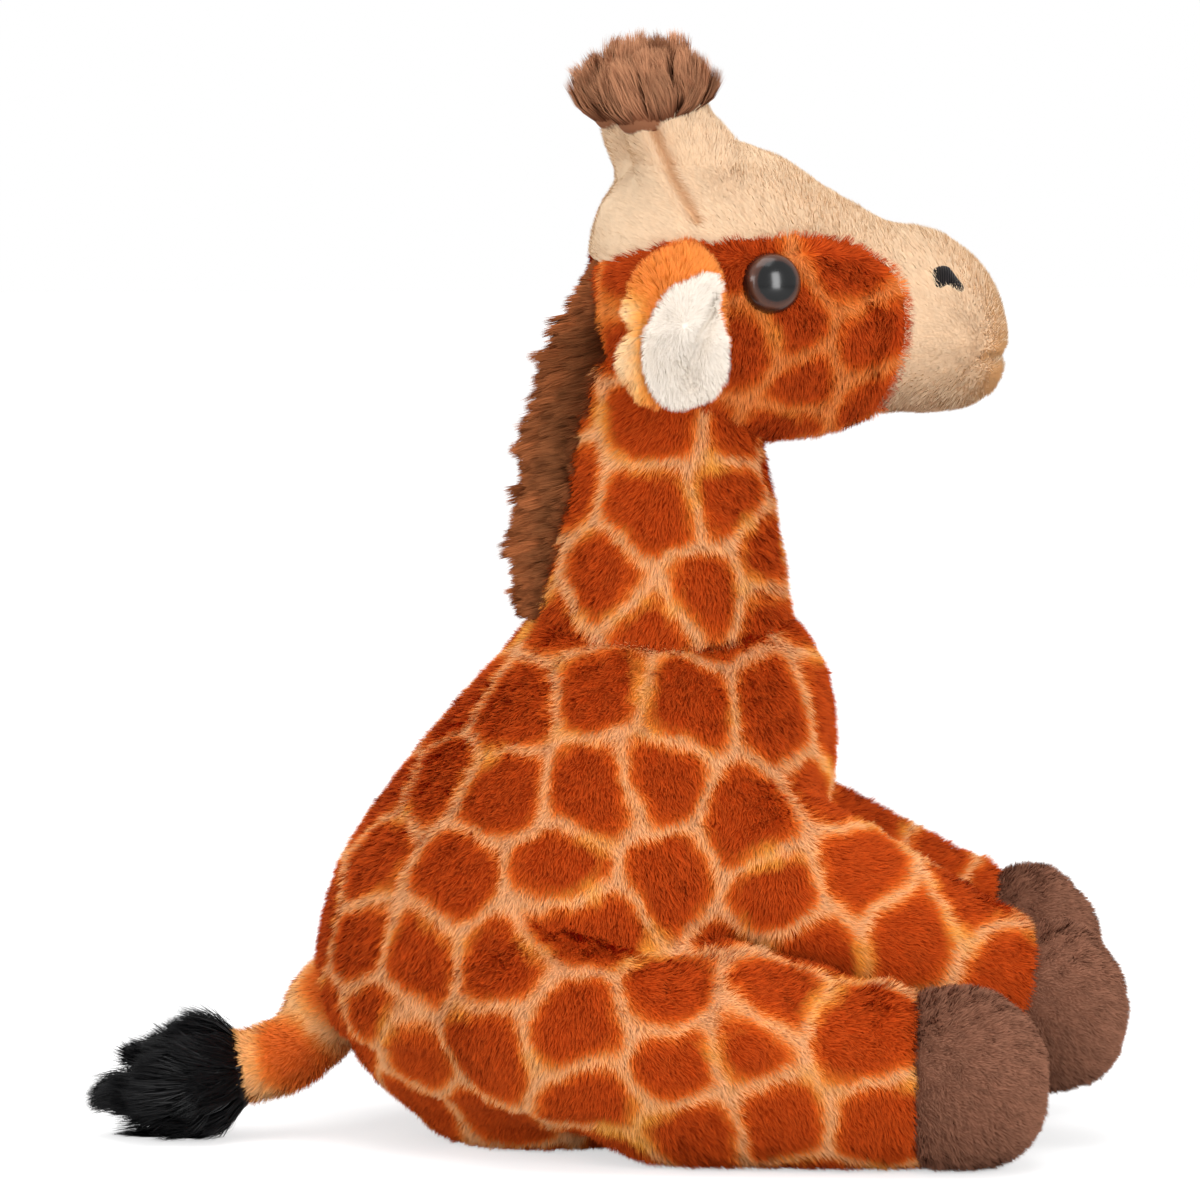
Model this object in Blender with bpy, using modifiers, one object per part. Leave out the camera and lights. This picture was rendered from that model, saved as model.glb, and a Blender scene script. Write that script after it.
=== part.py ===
"""A stuffed giraffe that sits upright, about 30 cm tall, modelled as its sewn and moulded pieces.

+X is the way the giraffe faces, +Y is its left side and +Z is up. The origin is on the surface that it
sits on, under the middle of its outline. The stuffed forms are coarse cages of rings under a
Subdivision Surface. Where two forms meet, the socket is cut by the other form grown by the clearance,
turned through the joint's range, so the seams can flex without the pieces meeting.
"""

import math

import bmesh
import bpy
from mathutils import Matrix, Vector

MM = 0.001
GAP = 0.3 * MM

X_AXIS = Vector((1, 0, 0))
Y_AXIS = Vector((0, 1, 0))
Z_AXIS = Vector((0, 0, 1))
RIGHT, LEFT = -1, 1
SIDE_NAMES = {RIGHT: "right", LEFT: "left"}

# Joint centres in millimetres, for the right side where a piece comes in pairs
NECK_PIVOT = (17.7, 0.0, 137.0)
HEAD_PIVOT = (18.5, 0.0, 198.0)
SHOULDER_PIVOT = (38.0, 33.0, 80.0)
HIP_PIVOT = (-18.0, 46.0, 37.2)
TAIL_PIVOT = (-66.5, 0.0, 37.0)
EAR_PIVOT = (21.0, 32.5, 239.0)

# Joint ranges and rest angles in degrees
NECK_LEAN_RANGE = (-5.0, 7.0)
HEAD_NOD_RANGE = (-6.0, 12.0)
SHOULDER_RANGE = (0.0, 30.0)
HIP_RANGE = (0.0, 15.0)
TAIL_RANGE = (-25.0, 25.0)
EAR_RANGE = (0.0, 110.0)
HEAD_TURN = 7.0
LEFT_FORELEG_LIFT = 6.5
LEFT_EAR_LIFT = 105.0
EAR_HINGE_SKEW = 28.0

TORSO_SIDES = 12
LIMB_SIDES = 10
SMALL_SIDES = 8
ROOM_FACET_ANGLE = 5.0
HIP_ROOM = 1.4 * MM

COLOURS = {
    "spotted_plush": (0.52, 0.13, 0.03),
    "tan_velour": (0.80, 0.56, 0.38),
    "muzzle_velour": (0.86, 0.64, 0.44),
    "mane_pile": (0.16, 0.06, 0.03),
    "horn_tuft_pile": (0.27, 0.12, 0.06),
    "hoof_plush": (0.20, 0.10, 0.06),
    "tail_pile": (0.010, 0.010, 0.012),
    "ear_lining_plush": (0.88, 0.86, 0.82),
    "eye_plastic": (0.03, 0.012, 0.008),
    "washer_plastic": (0.75, 0.75, 0.74),
    "nostril_thread": (0.012, 0.012, 0.014),
    "seat_fabric": (0.50, 0.14, 0.04),
    "pellet_bag_fabric": (0.80, 0.79, 0.76),
}


def clear_scene():
    for obj in list(bpy.data.objects):
        bpy.data.objects.remove(obj)


def new_collection(name):
    made = bpy.data.collections.new(name)
    bpy.context.scene.collection.children.link(made)
    return made


def point(x, y, z):
    """A place given in millimetres, in metres."""
    return Vector((x, y, z)) * MM


def sided(place, side):
    """A place given for the left side, in metres, moved to the side asked for."""
    return point(place[0], side * place[1], place[2])


def make_material(name, roughness=0.9):
    material = bpy.data.materials.new(name)
    material.use_nodes = True
    shader = material.node_tree.nodes["Principled BSDF"]
    shader.inputs["Base Color"].default_value = (*COLOURS[name], 1.0)
    shader.inputs["Roughness"].default_value = roughness
    shader.inputs["Metallic"].default_value = 0.0
    return material


def new_object(name, mesh, collection, material=None):
    obj = bpy.data.objects.new(name, mesh)
    collection.objects.link(obj)
    if material is not None:
        mesh.materials.append(material)
    return obj


def as_helper(obj):
    obj.hide_render = True
    obj.display_type = "WIRE"


def ring_frames(rings, wide, along, seam):
    """Each ring's centre, its direction across and its direction of height, square to the path.

    The last ring lies square to the seam's direction where one is given.
    """
    frames = []
    last = len(rings) - 1
    for index, ring in enumerate(rings):
        before = rings[max(index - 1, 0)][0]
        after = rings[min(index + 1, last)][0]
        tangent = along if along is not None else (after - before).normalized()
        if seam is not None and index == last:
            tangent = seam
        across = (wide - tangent * wide.dot(tangent)).normalized()
        frames.append((ring[0], across, tangent.cross(across)))
    return frames


def ring_cage(name, rings, sides=LIMB_SIDES, wide=Y_AXIS, along=None, seam=None, flat=()):
    """A closed cage of rings, each (centre, half height, half width).

    A ring is widened by what the subdivision draws it in. An end named in flat keeps its edge sharp.
    """
    drawn_in = (2 + math.cos(2 * math.pi / sides)) / 3
    bm = bmesh.new()
    crease = bm.edges.layers.float.new("crease_edge")
    loops = []
    for ring, (centre, across, high) in zip(rings, ring_frames(rings, wide, along, seam)):
        loop = []
        for index in range(sides):
            angle = 2 * math.pi * (index + 0.5) / sides
            reach = across * ring[2] * math.cos(angle) + high * ring[1] * math.sin(angle)
            loop.append(bm.verts.new(centre + reach / drawn_in))
        loops.append(loop)
    for lower, upper in zip(loops, loops[1:]):
        for index in range(sides):
            follow = (index + 1) % sides
            bm.faces.new((lower[index], lower[follow], upper[follow], upper[index]))
    caps = {"start": bm.faces.new(loops[0][::-1]), "end": bm.faces.new(loops[-1])}
    for end in flat:
        for edge in caps[end].edges:
            edge[crease] = 1.0
    bmesh.ops.recalc_face_normals(bm, faces=bm.faces)
    mesh = bpy.data.meshes.new(name)
    bm.to_mesh(mesh)
    bm.free()
    mesh.shade_smooth()
    return mesh


def add_subdivision(obj):
    modifier = obj.modifiers.new("stuffed surface", "SUBSURF")
    modifier.levels = 1
    modifier.render_levels = 1
    return modifier


def stuffed(name, rings, collection, material, **options):
    """A stuffed piece: its ring cage under a Subdivision Surface."""
    obj = new_object(name, ring_cage(name, rings, **options), collection, material)
    add_subdivision(obj)
    return obj


def cut(obj, cutter, operation="DIFFERENCE"):
    modifier = obj.modifiers.new(f"cut by {cutter.name}", "BOOLEAN")
    modifier.operation = operation
    modifier.solver = "EXACT"
    modifier.object = cutter


def grown_copy(form, cutters, name, by=GAP):
    """A cutter: the form's own surface grown by the clearance."""
    cutter = bpy.data.objects.new(name, form.data)
    cutters.objects.link(cutter)
    add_subdivision(cutter)
    grow = cutter.modifiers.new("clearance", "DISPLACE")
    grow.strength = by
    grow.mid_level = 0.0
    as_helper(cutter)
    return cutter


def turn_about(pivot, axis, degrees):
    turn = Matrix.Rotation(math.radians(degrees), 4, axis)
    return Matrix.Translation(pivot) @ turn @ Matrix.Translation(-pivot)


def swept_room(name, form, cutters, pivot, axis, angles, reach, by=1.0 * MM):
    """A cutter: one convex room round a form's root at every angle of its joint, out to a reach."""
    bpy.context.view_layer.update()
    evaluated = form.evaluated_get(bpy.context.evaluated_depsgraph_get())
    shape = evaluated.to_mesh()
    root = [vertex.co.copy() for vertex in shape.vertices if (vertex.co - pivot).length < reach]
    evaluated.to_mesh_clear()
    bm = bmesh.new()
    for angle in angles:
        turn = turn_about(pivot, axis, angle)
        for place in root:
            bm.verts.new(turn @ place)
    bmesh.ops.remove_doubles(bm, verts=bm.verts, dist=1.0 * MM)
    made = bmesh.ops.convex_hull(bm, input=bm.verts)
    loose = dict.fromkeys(made["geom_interior"] + made["geom_unused"])
    inner = [item for item in loose if isinstance(item, bmesh.types.BMVert)]
    bmesh.ops.delete(bm, geom=inner, context="VERTS")
    bmesh.ops.dissolve_limit(
        bm, angle_limit=math.radians(ROOM_FACET_ANGLE), verts=bm.verts, edges=bm.edges
    )
    bmesh.ops.recalc_face_normals(bm, faces=bm.faces)
    mesh = bpy.data.meshes.new(name)
    bm.to_mesh(mesh)
    bm.free()
    room = new_object(name, mesh, cutters)
    grow = room.modifiers.new("clearance", "DISPLACE")
    grow.strength = by
    grow.mid_level = 0.0
    as_helper(room)
    return room


def steps_over(limits, count, rest=0.0):
    """Angles spread evenly over a joint's range, added to the rest angle."""
    low, high = limits
    return [rest + low + (high - low) * index / (count - 1) for index in range(count)]


def make_pivot(name, place, collection, parent=None, rotation=(0.0, 0.0, 0.0)):
    """An empty on a joint's axis. What hangs on it is modelled unturned and turned with it."""
    empty = bpy.data.objects.new(name, None)
    empty.empty_display_size = 10 * MM
    collection.objects.link(empty)
    empty.location = place
    empty.rotation_mode = "XYZ"
    empty.rotation_euler = rotation
    if parent is not None:
        hang(empty, parent)
    return empty


def hang(obj, pivot):
    obj.parent = pivot
    obj.matrix_parent_inverse = Matrix.Translation(-pivot.location)


def rings_of(rows, side=LEFT):
    """Rows of (x, y, z, half height, half width) in millimetres, as rings on one side."""
    return [(point(x, side * y, z), high * MM, wide * MM) for x, y, z, high, wide in rows]


def outline_prism(name, outline, half_width, cutters, grow=0.0):
    """A flat outline in the side view, filled and run across the whole width, as a mesh."""
    curve = bpy.data.curves.new(name, "CURVE")
    curve.dimensions = "2D"
    curve.fill_mode = "BOTH"
    curve.extrude = half_width
    spline = curve.splines.new("POLY")
    spline.points.add(len(outline) - 1)
    for target, (x, z) in zip(spline.points, outline):
        target.co = (x * MM, z * MM, 0.0, 1.0)
    spline.use_cyclic_u = True
    guide = bpy.data.objects.new(f"{name}_outline", curve)
    cutters.objects.link(guide)
    guide.rotation_euler = (math.pi / 2, 0.0, 0.0)
    bpy.context.view_layer.update()
    evaluated = guide.evaluated_get(bpy.context.evaluated_depsgraph_get())
    mesh = bpy.data.meshes.new_from_object(evaluated)
    mesh.transform(guide.matrix_world)
    bm = bmesh.new()
    bm.from_mesh(mesh)
    bmesh.ops.remove_doubles(bm, verts=bm.verts, dist=1e-6)
    bmesh.ops.recalc_face_normals(bm, faces=bm.faces)
    bm.to_mesh(mesh)
    bm.free()
    bpy.data.objects.remove(guide)
    prism = new_object(name, mesh, cutters)
    if grow:
        swell = prism.modifiers.new("clearance", "DISPLACE")
        swell.strength = grow
        swell.mid_level = 0.0
    as_helper(prism)
    return prism


def floor_block(cutters):
    """A block whose top is the surface that the giraffe sits on."""
    size = 400 * MM
    bm = bmesh.new()
    bmesh.ops.create_cube(bm, size=size)
    bmesh.ops.translate(bm, verts=bm.verts, vec=(0, 0, -size / 2))
    mesh = bpy.data.meshes.new("floor_block")
    bm.to_mesh(mesh)
    bm.free()
    block = new_object("floor_block", mesh, cutters)
    as_helper(block)
    return block


def turned(name, profile, collection, material=None, steps=24):
    """A turned piece: a profile of (radius, height) in millimetres, from the top down its outside."""
    bm = bmesh.new()
    verts = [bm.verts.new((radius * MM, 0.0, height * MM)) for radius, height in profile]
    for first, second in zip(verts, verts[1:]):
        bm.edges.new((first, second))
    mesh = bpy.data.meshes.new(name)
    bm.to_mesh(mesh)
    bm.free()
    obj = new_object(name, mesh, collection, material)
    screw = obj.modifiers.new("turn", "SCREW")
    screw.steps = steps
    screw.render_steps = steps
    screw.use_merge_vertices = True
    screw.merge_threshold = 1e-5
    screw.use_smooth_shade = True
    return obj


def skin_loops(bm, name, loops):
    """Bridges closed loops of vertices in turn, caps both ends and returns the mesh, facing out."""
    count = len(loops[0])
    for lower, upper in zip(loops, loops[1:]):
        for index in range(count):
            follow = (index + 1) % count
            bm.faces.new((lower[index], lower[follow], upper[follow], upper[index]))
    bm.faces.new(loops[0][::-1])
    bm.faces.new(loops[-1])
    bmesh.ops.recalc_face_normals(bm, faces=bm.faces)
    mesh = bpy.data.meshes.new(name)
    bm.to_mesh(mesh)
    bm.free()
    return mesh


def oval_block(name, centre, radii, bottom, top, collection, material=None, shoulder=0.0):
    """An upright oval block with its upper edge rounded over by the shoulder, in millimetres."""
    rows = [(bottom, 1.0), (top - shoulder, 1.0)]
    for step in range(1, 4 if shoulder else 1):
        angle = step * math.pi / 8
        rows.append((top - shoulder + shoulder * math.sin(angle), 1 - 0.45 * (1 - math.cos(angle))))
    if shoulder:
        rows.append((top, 0.45))
    bm = bmesh.new()
    loops = []
    for height, share in rows:
        loop = []
        for index in range(24):
            angle = 2 * math.pi * index / 24
            x = centre[0] + radii[0] * share * math.cos(angle)
            y = centre[1] + radii[1] * share * math.sin(angle)
            loop.append(bm.verts.new(point(x, y, height)))
        loops.append(loop)
    mesh = skin_loops(bm, name, loops)
    mesh.shade_smooth()
    mesh.set_sharp_from_angle(angle=math.radians(40))
    return new_object(name, mesh, collection, material)


def tuft_mesh(name, base, direction, sections, lobes, ragged, tip_ragged, drift=Vector((0, 0, 0))):
    """A pile tuft: rings about a direction, every other point drawn out into a lock, with ragged tips.

    A section is (distance along, radius) in millimetres. The last but one holds the tips of the locks,
    and the last the hollow between them. The drift is how far the tips bend aside, in millimetres.
    """
    across = Y_AXIS - direction * Y_AXIS.dot(direction)
    across.normalize()
    high = direction.cross(across)
    bm = bmesh.new()
    loops = []
    tips = len(sections) - 2
    for row, (distance, radius) in enumerate(sections):
        loop = []
        for index in range(2 * lobes):
            angle = math.pi * index / lobes
            lock = 1.0 if index % 2 == 0 else -1.0
            share = 1.0 + (0.0 if row == 0 else ragged * lock)
            along = distance
            if row == tips:
                along += tip_ragged * lock * (1.0 + 0.35 * math.sin(3.1 * index + 0.7))
            side_reach = across * math.cos(angle) + high * math.sin(angle)
            bend = drift * (distance / sections[tips][0]) ** 2
            loop.append(bm.verts.new(base + (direction * along + side_reach * radius * share + bend) * MM))
        loops.append(loop)
    return skin_loops(bm, name, loops)


def mane_mesh(name, rows, half_thickness=5.0):
    """A strip of long pile: a thin blade whose outer edge is drawn out into locks.

    A row is (root x, root z, tip x, tip z) in millimetres, from the bottom up.
    """
    shares = ((0.0, 1.0), (0.45, 0.82), (0.8, 0.5), (1.0, 0.18))
    bm = bmesh.new()
    loops = []
    for row, (root_x, root_z, tip_x, tip_z) in enumerate(rows):
        reach = 1.0 if row % 2 == 0 else 0.78
        drop = 0.0 if row % 2 == 0 else 1.2
        places = []
        for share, thick in shares:
            x = root_x + (tip_x - root_x) * share * (reach if share > 0.5 else 1.0)
            z = root_z + (tip_z - root_z) * share - drop * share
            places.append((x, z, half_thickness * thick))
        loop = [bm.verts.new(point(x, -half, z)) for x, z, half in places]
        loop += [bm.verts.new(point(x, half, z)) for x, z, half in reversed(places)]
        loops.append(loop)
    return skin_loops(bm, name, loops)


def between(rows, count):
    """Rows read evenly from a straight run through the given rows."""
    read = []
    for index in range(count):
        place = index * (len(rows) - 1) / (count - 1)
        first = min(int(place), len(rows) - 2)
        share = place - first
        read.append([a + (b - a) * share for a, b in zip(rows[first], rows[first + 1])])
    return read


# Stuffed forms, as rows of (x, y, z, half height, half width) in millimetres. The rings of the torso
# and the neck lie flat, so there their half height is fore and aft.
TORSO_ROWS = (
    (-11, 0, -1.5, 26, 30),
    (-15.5, 0, 5.5, 35.4, 40.5),
    (-20.0, 0, 18, 45.8, 51),
    (-19.8, 0, 36, 54.3, 57.8),
    (-12.8, 0, 56, 60.2, 57.8),
    (-4.4, 0, 77, 61.6, 53.6),
    (6.2, 0, 99, 56.8, 46.4),
    (14.5, 0, 120, 47.5, 39.2),
    (17.7, 0, 135.6, 36.4, 31.6),
)
NECK_ROOT_RADIUS = 33.4
NECK_ROOT_HALF_WIDTH = 28.8
NECK_ROWS = (
    (17.7, 0, 137, 33.4, 28.8),
    (18.3, 0, 151, 31.7, 27.9),
    (18.7, 0, 168, 28.6, 25.9),
    (18.5, 0, 183, 25.8, 24.3),
    (18.5, 0, 193, 24.2, 23.5),
)
NECK_BALL_RADIUS = 23.5
HEAD_ROWS = (
    (2.2, 0, 228, 18, 15),
    (8, 0, 226.4, 32, 26),
    (19, 0, 225.6, 38.6, 32.4),
    (33, 0, 226.2, 40.6, 34),
    (48, 0, 224.6, 38.0, 31.8),
    (63, 0, 220.8, 32.0, 26.8),
    (78, 0, 219.2, 25.4, 23.0),
    (91, 0, 217.8, 24.2, 23.2),
    (101, 0, 215.2, 20.2, 20.4),
    (107.6, 0, 213.0, 11.5, 12.5),
)
# The seam between the spotted cheeks and the tan face, in the side view
FACE_SEAM = (
    (-12, 229), (-3, 232.5), (5, 236.5), (14, 240.2), (31, 240.6), (49, 241.7), (60, 240.2), (68, 237.8),
    (74.5, 233.5), (78.4, 228.6), (79.8, 221), (79.5, 213), (77.4, 205), (75.5, 198), (73.5, 184),
)
FACE_SEAM_OUTSIDE = ((126, 184), (126, 300), (-12, 300))

FORELEG_BALL = 20.5
FORELEG_SLOPE = 31.0
FORELEG_ROWS = (
    (38, 33, 80, 20.5, 16.5),
    (56, 31.4, 70.6, 21.2, 16.8),
    (76, 28.6, 58.8, 20.4, 16.8),
    (94, 26.0, 48.4, 19.8, 16.8),
    (110.5, 24.0, 40.4, 20.4, 17.4),
)
FORE_SEAM_DIRECTION = (0.985, -0.09, -0.15)
FORE_HOOF_ROWS = (
    (111.0, 23.95, 40.3, 20.8, 17.8),
    (121.5, 23.0, 36.4, 23.2, 19.6),
    (132.0, 22.0, 34.8, 18.2, 16.2),
)
FORE_SOLE_ROWS = (
    (132.6, 21.9, 34.7, 17.4, 15.6),
    (138.2, 21.4, 34.4, 10.2, 9.2),
)
HAUNCH_RADIUS = 25.0
HAUNCH_HALF_HEIGHT = 29.2
HIND_LEG_ROWS = (
    (-18, 46, 37.2, 29.2, 25.0),
    (0, 48.2, 33.2, 29.0, 24.4),
    (20, 51.0, 27.8, 28.4, 23.4),
    (40, 53.8, 24.9, 25.4, 22.4),
    (60, 56.6, 23.0, 23.6, 21.4),
    (80, 59.4, 22.6, 23.1, 21.0),
)
HIND_SEAM_DIRECTION = (0.99, 0.14, 0.0)
HIND_HOOF_ROWS = (
    (80.5, 59.5, 22.6, 23.3, 21.1),
    (93, 61.2, 23.4, 24.6, 22.2),
    (104.5, 62.9, 23.3, 20.0, 18.5),
)
HIND_SOLE_ROWS = (
    (105.1, 63.0, 23.3, 19.2, 17.8),
    (112.2, 64.0, 23.8, 10.5, 9.8),
)
HOOVES = {
    "fore": (FORE_HOOF_ROWS, FORE_SOLE_ROWS, FORE_SEAM_DIRECTION),
    "hind": (HIND_HOOF_ROWS, HIND_SOLE_ROWS, HIND_SEAM_DIRECTION),
}
TAIL_BALL = 11.0
TAIL_ROWS = (
    (-66.5, 0, 37, 11.0, 11.0),
    (-73.8, 0, 30.6, 10.6, 10.6),
    (-81, 0, 24.0, 9.8, 9.8),
    (-89.5, 0, 19.8, 9.2, 9.2),
    (-97, 0, 18.9, 9.1, 9.1),
)
HORN_ROWS = (
    (24, 14.5, 243, 16, 12),
    (22, 15, 258, 15, 11.6),
    (18, 15.5, 266.5, 12.6, 11.1),
    (14.4, 16, 273.4, 11.6, 10.8),
)
EAR_ROWS = (
    (21.5, 31.0, 239.6, 5.5, 2.4),
    (20.6, 36.4, 237.0, 8.5, 2.5),
    (17.0, 40.2, 228.0, 12.6, 2.3),
    (12.0, 41.4, 213.0, 14.0, 2.0),
    (8.7, 42.0, 200.5, 5.5, 1.6),
)
EAR_LINING_ROWS = (
    (19.0, 43.0, 230.0, 6.5, 0.9),
    (15.5, 44.6, 220.0, 11.2, 1.1),
    (12.3, 45.1, 209.0, 10.2, 1.0),
    (10.3, 45.4, 201.5, 4.5, 0.9),
)
MANE_NECK_ROWS = (
    (-9.5, 141.5, -22.0, 140.5),
    (-8.5, 149.0, -24.8, 146.0),
    (-6.6, 160.0, -24.8, 156.5),
    (-4.9, 172.0, -24.0, 169.0),
    (-3.0, 184.0, -22.9, 181.5),
    (-1.8, 195.0, -21.5, 195.5),
)
MANE_HEAD_ROWS = (
    (0.5, 200.4, -20.0, 200.9),
    (3.0, 208.0, -17.5, 209.0),
    (4.5, 217.0, -13.5, 217.5),
    (5.5, 226.0, -8.0, 226.0),
    (5.5, 233.0, -2.4, 234.5),
)
MANE_NECK_LOCKS = 21
MANE_HEAD_LOCKS = 13

SEAT_CENTRE = (-12.0, 0.0)
SEAT_RADII = (23.0, 20.0)
SEAT_THICKNESS = 2.5
PELLET_RADII = (20.5, 17.5)
PELLET_TOP = 33.0

EYE_PLACE = (40.3, 31.4, 230.0)
EYE_FORWARD_TILT = 8.0
EYE_RADIUS = 7.8
EYE_HEIGHT = 5.4
SHANK_RADIUS = 2.5
SHANK_LENGTH = 11.0
WASHER_RADIUS = 6.4
WASHER_DEPTH = 5.0
WASHER_THICKNESS = 1.4
NOSTRIL_PLACE = (91.3, 19.6, 230.6)
NOSTRIL_RADII = (3.9, 2.9, 0.9)


def ball_end(centre, radius, direction, half_width):
    """Rings that close a form with a ball about its joint centre, from the far end up to the centre."""
    rows = []
    for degrees in (68, 32):
        behind = radius * math.sin(math.radians(degrees))
        share = math.cos(math.radians(degrees))
        rows.append((centre - direction * behind * MM, radius * share * MM, half_width * share * MM))
    return rows


def slope_direction(degrees):
    """A direction in the side view, forward and down by an angle."""
    angle = math.radians(degrees)
    return Vector((math.cos(angle), 0.0, -math.sin(angle)))


def eye_turn(side):
    """The matrix that sets a turned piece, modelled about +Z, on an eye's place and facing."""
    tilt = math.radians(EYE_FORWARD_TILT)
    facing = Vector((math.sin(tilt), side * math.cos(tilt), 0.05)).normalized()
    return Matrix.Translation(sided(EYE_PLACE, side)) @ facing.to_track_quat("Z", "Y").to_matrix().to_4x4()


def eye_profile():
    """The moulded eye: a low dome on a rim, with a ribbed shank behind it."""
    rows = []
    for step in range(7):
        angle = step * math.pi / 2 / 6
        rows.append((EYE_RADIUS * math.sin(angle), 1.0 + (EYE_HEIGHT - 1.0) * math.cos(angle)))
    rows.append((EYE_RADIUS, 0.0))
    rows.append((SHANK_RADIUS, 0.0))
    for rib in range(3):
        height = -3.0 - 2.6 * rib
        rows.append((SHANK_RADIUS - 0.35, height + 0.5))
        rows.append((SHANK_RADIUS, height))
        rows.append((SHANK_RADIUS - 0.35, height - 0.9))
    rows.append((1.1, -SHANK_LENGTH))
    rows.append((0.0, -SHANK_LENGTH))
    rows[0] = (0.0, EYE_HEIGHT)
    return rows


def washer_profile():
    """The lock washer: a flat ring with its rim turned down and a collar round the shank."""
    top = -WASHER_DEPTH
    bottom = top - WASHER_THICKNESS
    hole = SHANK_RADIUS + 0.4
    return [
        (hole, top),
        (hole + 1.4, top),
        (hole + 1.6, top - 0.5),
        (WASHER_RADIUS - 0.6, top - 0.5),
        (WASHER_RADIUS, top - 0.9),
        (WASHER_RADIUS, bottom),
        (hole, bottom),
        (hole, top),
    ]


def socket_profiles():
    """Cutters for an eye in the head: its seat, the shank's bore and the washer's pocket."""
    seat = [(0.0, 12.0), (EYE_RADIUS + 0.3, 12.0), (EYE_RADIUS + 0.3, -0.3), (0.0, -0.3)]
    bore = SHANK_RADIUS + 0.35
    pocket_top = -WASHER_DEPTH + 0.3
    pocket_bottom = -WASHER_DEPTH - WASHER_THICKNESS - 0.3
    hidden = [
        (0.0, 0.5),
        (bore, 0.5),
        (bore, pocket_top),
        (WASHER_RADIUS + 0.3, pocket_top),
        (WASHER_RADIUS + 0.3, pocket_bottom),
        (bore, pocket_bottom),
        (bore, -SHANK_LENGTH - 0.5),
        (0.0, -SHANK_LENGTH - 0.5),
    ]
    return seat, hidden


def torso_form(parts, materials):
    return stuffed(
        "torso",
        rings_of(TORSO_ROWS),
        parts,
        materials["spotted_plush"],
        sides=TORSO_SIDES,
        along=Z_AXIS,
        flat=("end",),
    )


def neck_form(parts, materials):
    """The neck: below the seam an egg about the lean axis, above it a taper that ends in the head's ball."""
    pivot = point(*NECK_PIVOT)
    rings = []
    for degrees in (72, 46, 18):
        behind = NECK_ROOT_RADIUS * math.sin(math.radians(degrees)) * MM
        share = math.cos(math.radians(degrees))
        rings.append(
            (pivot - Z_AXIS * behind, NECK_ROOT_RADIUS * share * MM, NECK_ROOT_HALF_WIDTH * share * MM)
        )
    rings += rings_of(NECK_ROWS)
    centre = point(*HEAD_PIVOT)
    for degrees in (12, 44, 72):
        ahead = NECK_BALL_RADIUS * math.sin(math.radians(degrees)) * MM
        radius = NECK_BALL_RADIUS * math.cos(math.radians(degrees)) * MM
        rings.append((centre + Z_AXIS * ahead, radius, radius))
    return stuffed("neck", rings, parts, materials["spotted_plush"], along=Z_AXIS)


def foreleg_form(side, parts, materials):
    name = f"foreleg_{SIDE_NAMES[side]}"
    centre = sided(SHOULDER_PIVOT, side)
    rings = ball_end(centre, FORELEG_BALL, slope_direction(FORELEG_SLOPE), FORELEG_ROWS[0][4])
    rings += rings_of(FORELEG_ROWS, side)
    seam = seam_direction(FORE_SEAM_DIRECTION, side)
    return stuffed(name, rings, parts, materials["spotted_plush"], seam=seam, flat=("end",))


def hind_leg_form(side, parts, materials):
    """The hind leg: a haunch that is round about the upright hip axis, drawn out into the leg."""
    name = f"hind_leg_{SIDE_NAMES[side]}"
    x, y, height = HIP_PIVOT
    rings = []
    for degrees in (70, 36):
        behind = HAUNCH_RADIUS * math.sin(math.radians(degrees))
        share = math.cos(math.radians(degrees))
        rings.append(
            (
                point(x - behind, side * y, height),
                HAUNCH_HALF_HEIGHT * share * MM,
                HAUNCH_RADIUS * share * MM,
            )
        )
    rings += rings_of(HIND_LEG_ROWS, side)
    seam = seam_direction(HIND_SEAM_DIRECTION, side)
    return stuffed(name, rings, parts, materials["spotted_plush"], seam=seam, flat=("end",))


def tail_form(parts, materials):
    centre = point(*TAIL_PIVOT)
    direction = Vector((-0.73, 0.0, -0.68)).normalized()
    rings = ball_end(centre, TAIL_BALL, direction, TAIL_BALL)
    rings += rings_of(TAIL_ROWS)
    return stuffed("tail", rings, parts, materials["spotted_plush"], sides=SMALL_SIDES, flat=("end",))


def head_form(name, parts, material):
    return stuffed(name, rings_of(HEAD_ROWS), parts, material, along=X_AXIS, sides=TORSO_SIDES)


def make_seat(torso, parts, cutters, materials):
    """The oval seat panel and the pellet bag above it, in a pocket of the torso."""
    panel = oval_block(
        "seat_panel", SEAT_CENTRE, SEAT_RADII, 0.0, SEAT_THICKNESS, parts, materials["seat_fabric"]
    )
    bag = oval_block(
        "pellet_bag",
        SEAT_CENTRE,
        PELLET_RADII,
        SEAT_THICKNESS + 0.3,
        PELLET_TOP,
        parts,
        materials["pellet_bag_fabric"],
        shoulder=8.0,
    )
    seat_room = oval_block(
        "seat_room",
        SEAT_CENTRE,
        [radius + 0.3 for radius in SEAT_RADII],
        -2.0,
        SEAT_THICKNESS + 0.3,
        cutters,
    )
    bag_room = oval_block(
        "bag_room",
        SEAT_CENTRE,
        [radius + 0.3 for radius in PELLET_RADII],
        SEAT_THICKNESS,
        PELLET_TOP + 0.4,
        cutters,
        shoulder=8.0,
    )
    for room in (seat_room, bag_room):
        as_helper(room)
        cut(torso, room)
    return [panel, bag]


def seam_direction(direction, side):
    """The direction that a limb's flat seams are square to."""
    return Vector((direction[0], side * direction[1], direction[2])).normalized()


def make_hoof(kind, side, parts, materials):
    """A hoof band and the round sole that closes it, both of short brown plush, with their seams
    square to the same direction as the leg's."""
    rows, sole_rows, direction = HOOVES[kind]
    label = SIDE_NAMES[side]
    along = seam_direction(direction, side)
    band = stuffed(
        f"{kind}_hoof_{label}",
        rings_of(rows, side),
        parts,
        materials["hoof_plush"],
        along=along,
        flat=("start", "end"),
    )
    sole = stuffed(
        f"{kind}_sole_{label}",
        rings_of(sole_rows, side),
        parts,
        materials["hoof_plush"],
        along=along,
        flat=("start",),
    )
    return [band, sole]


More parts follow.
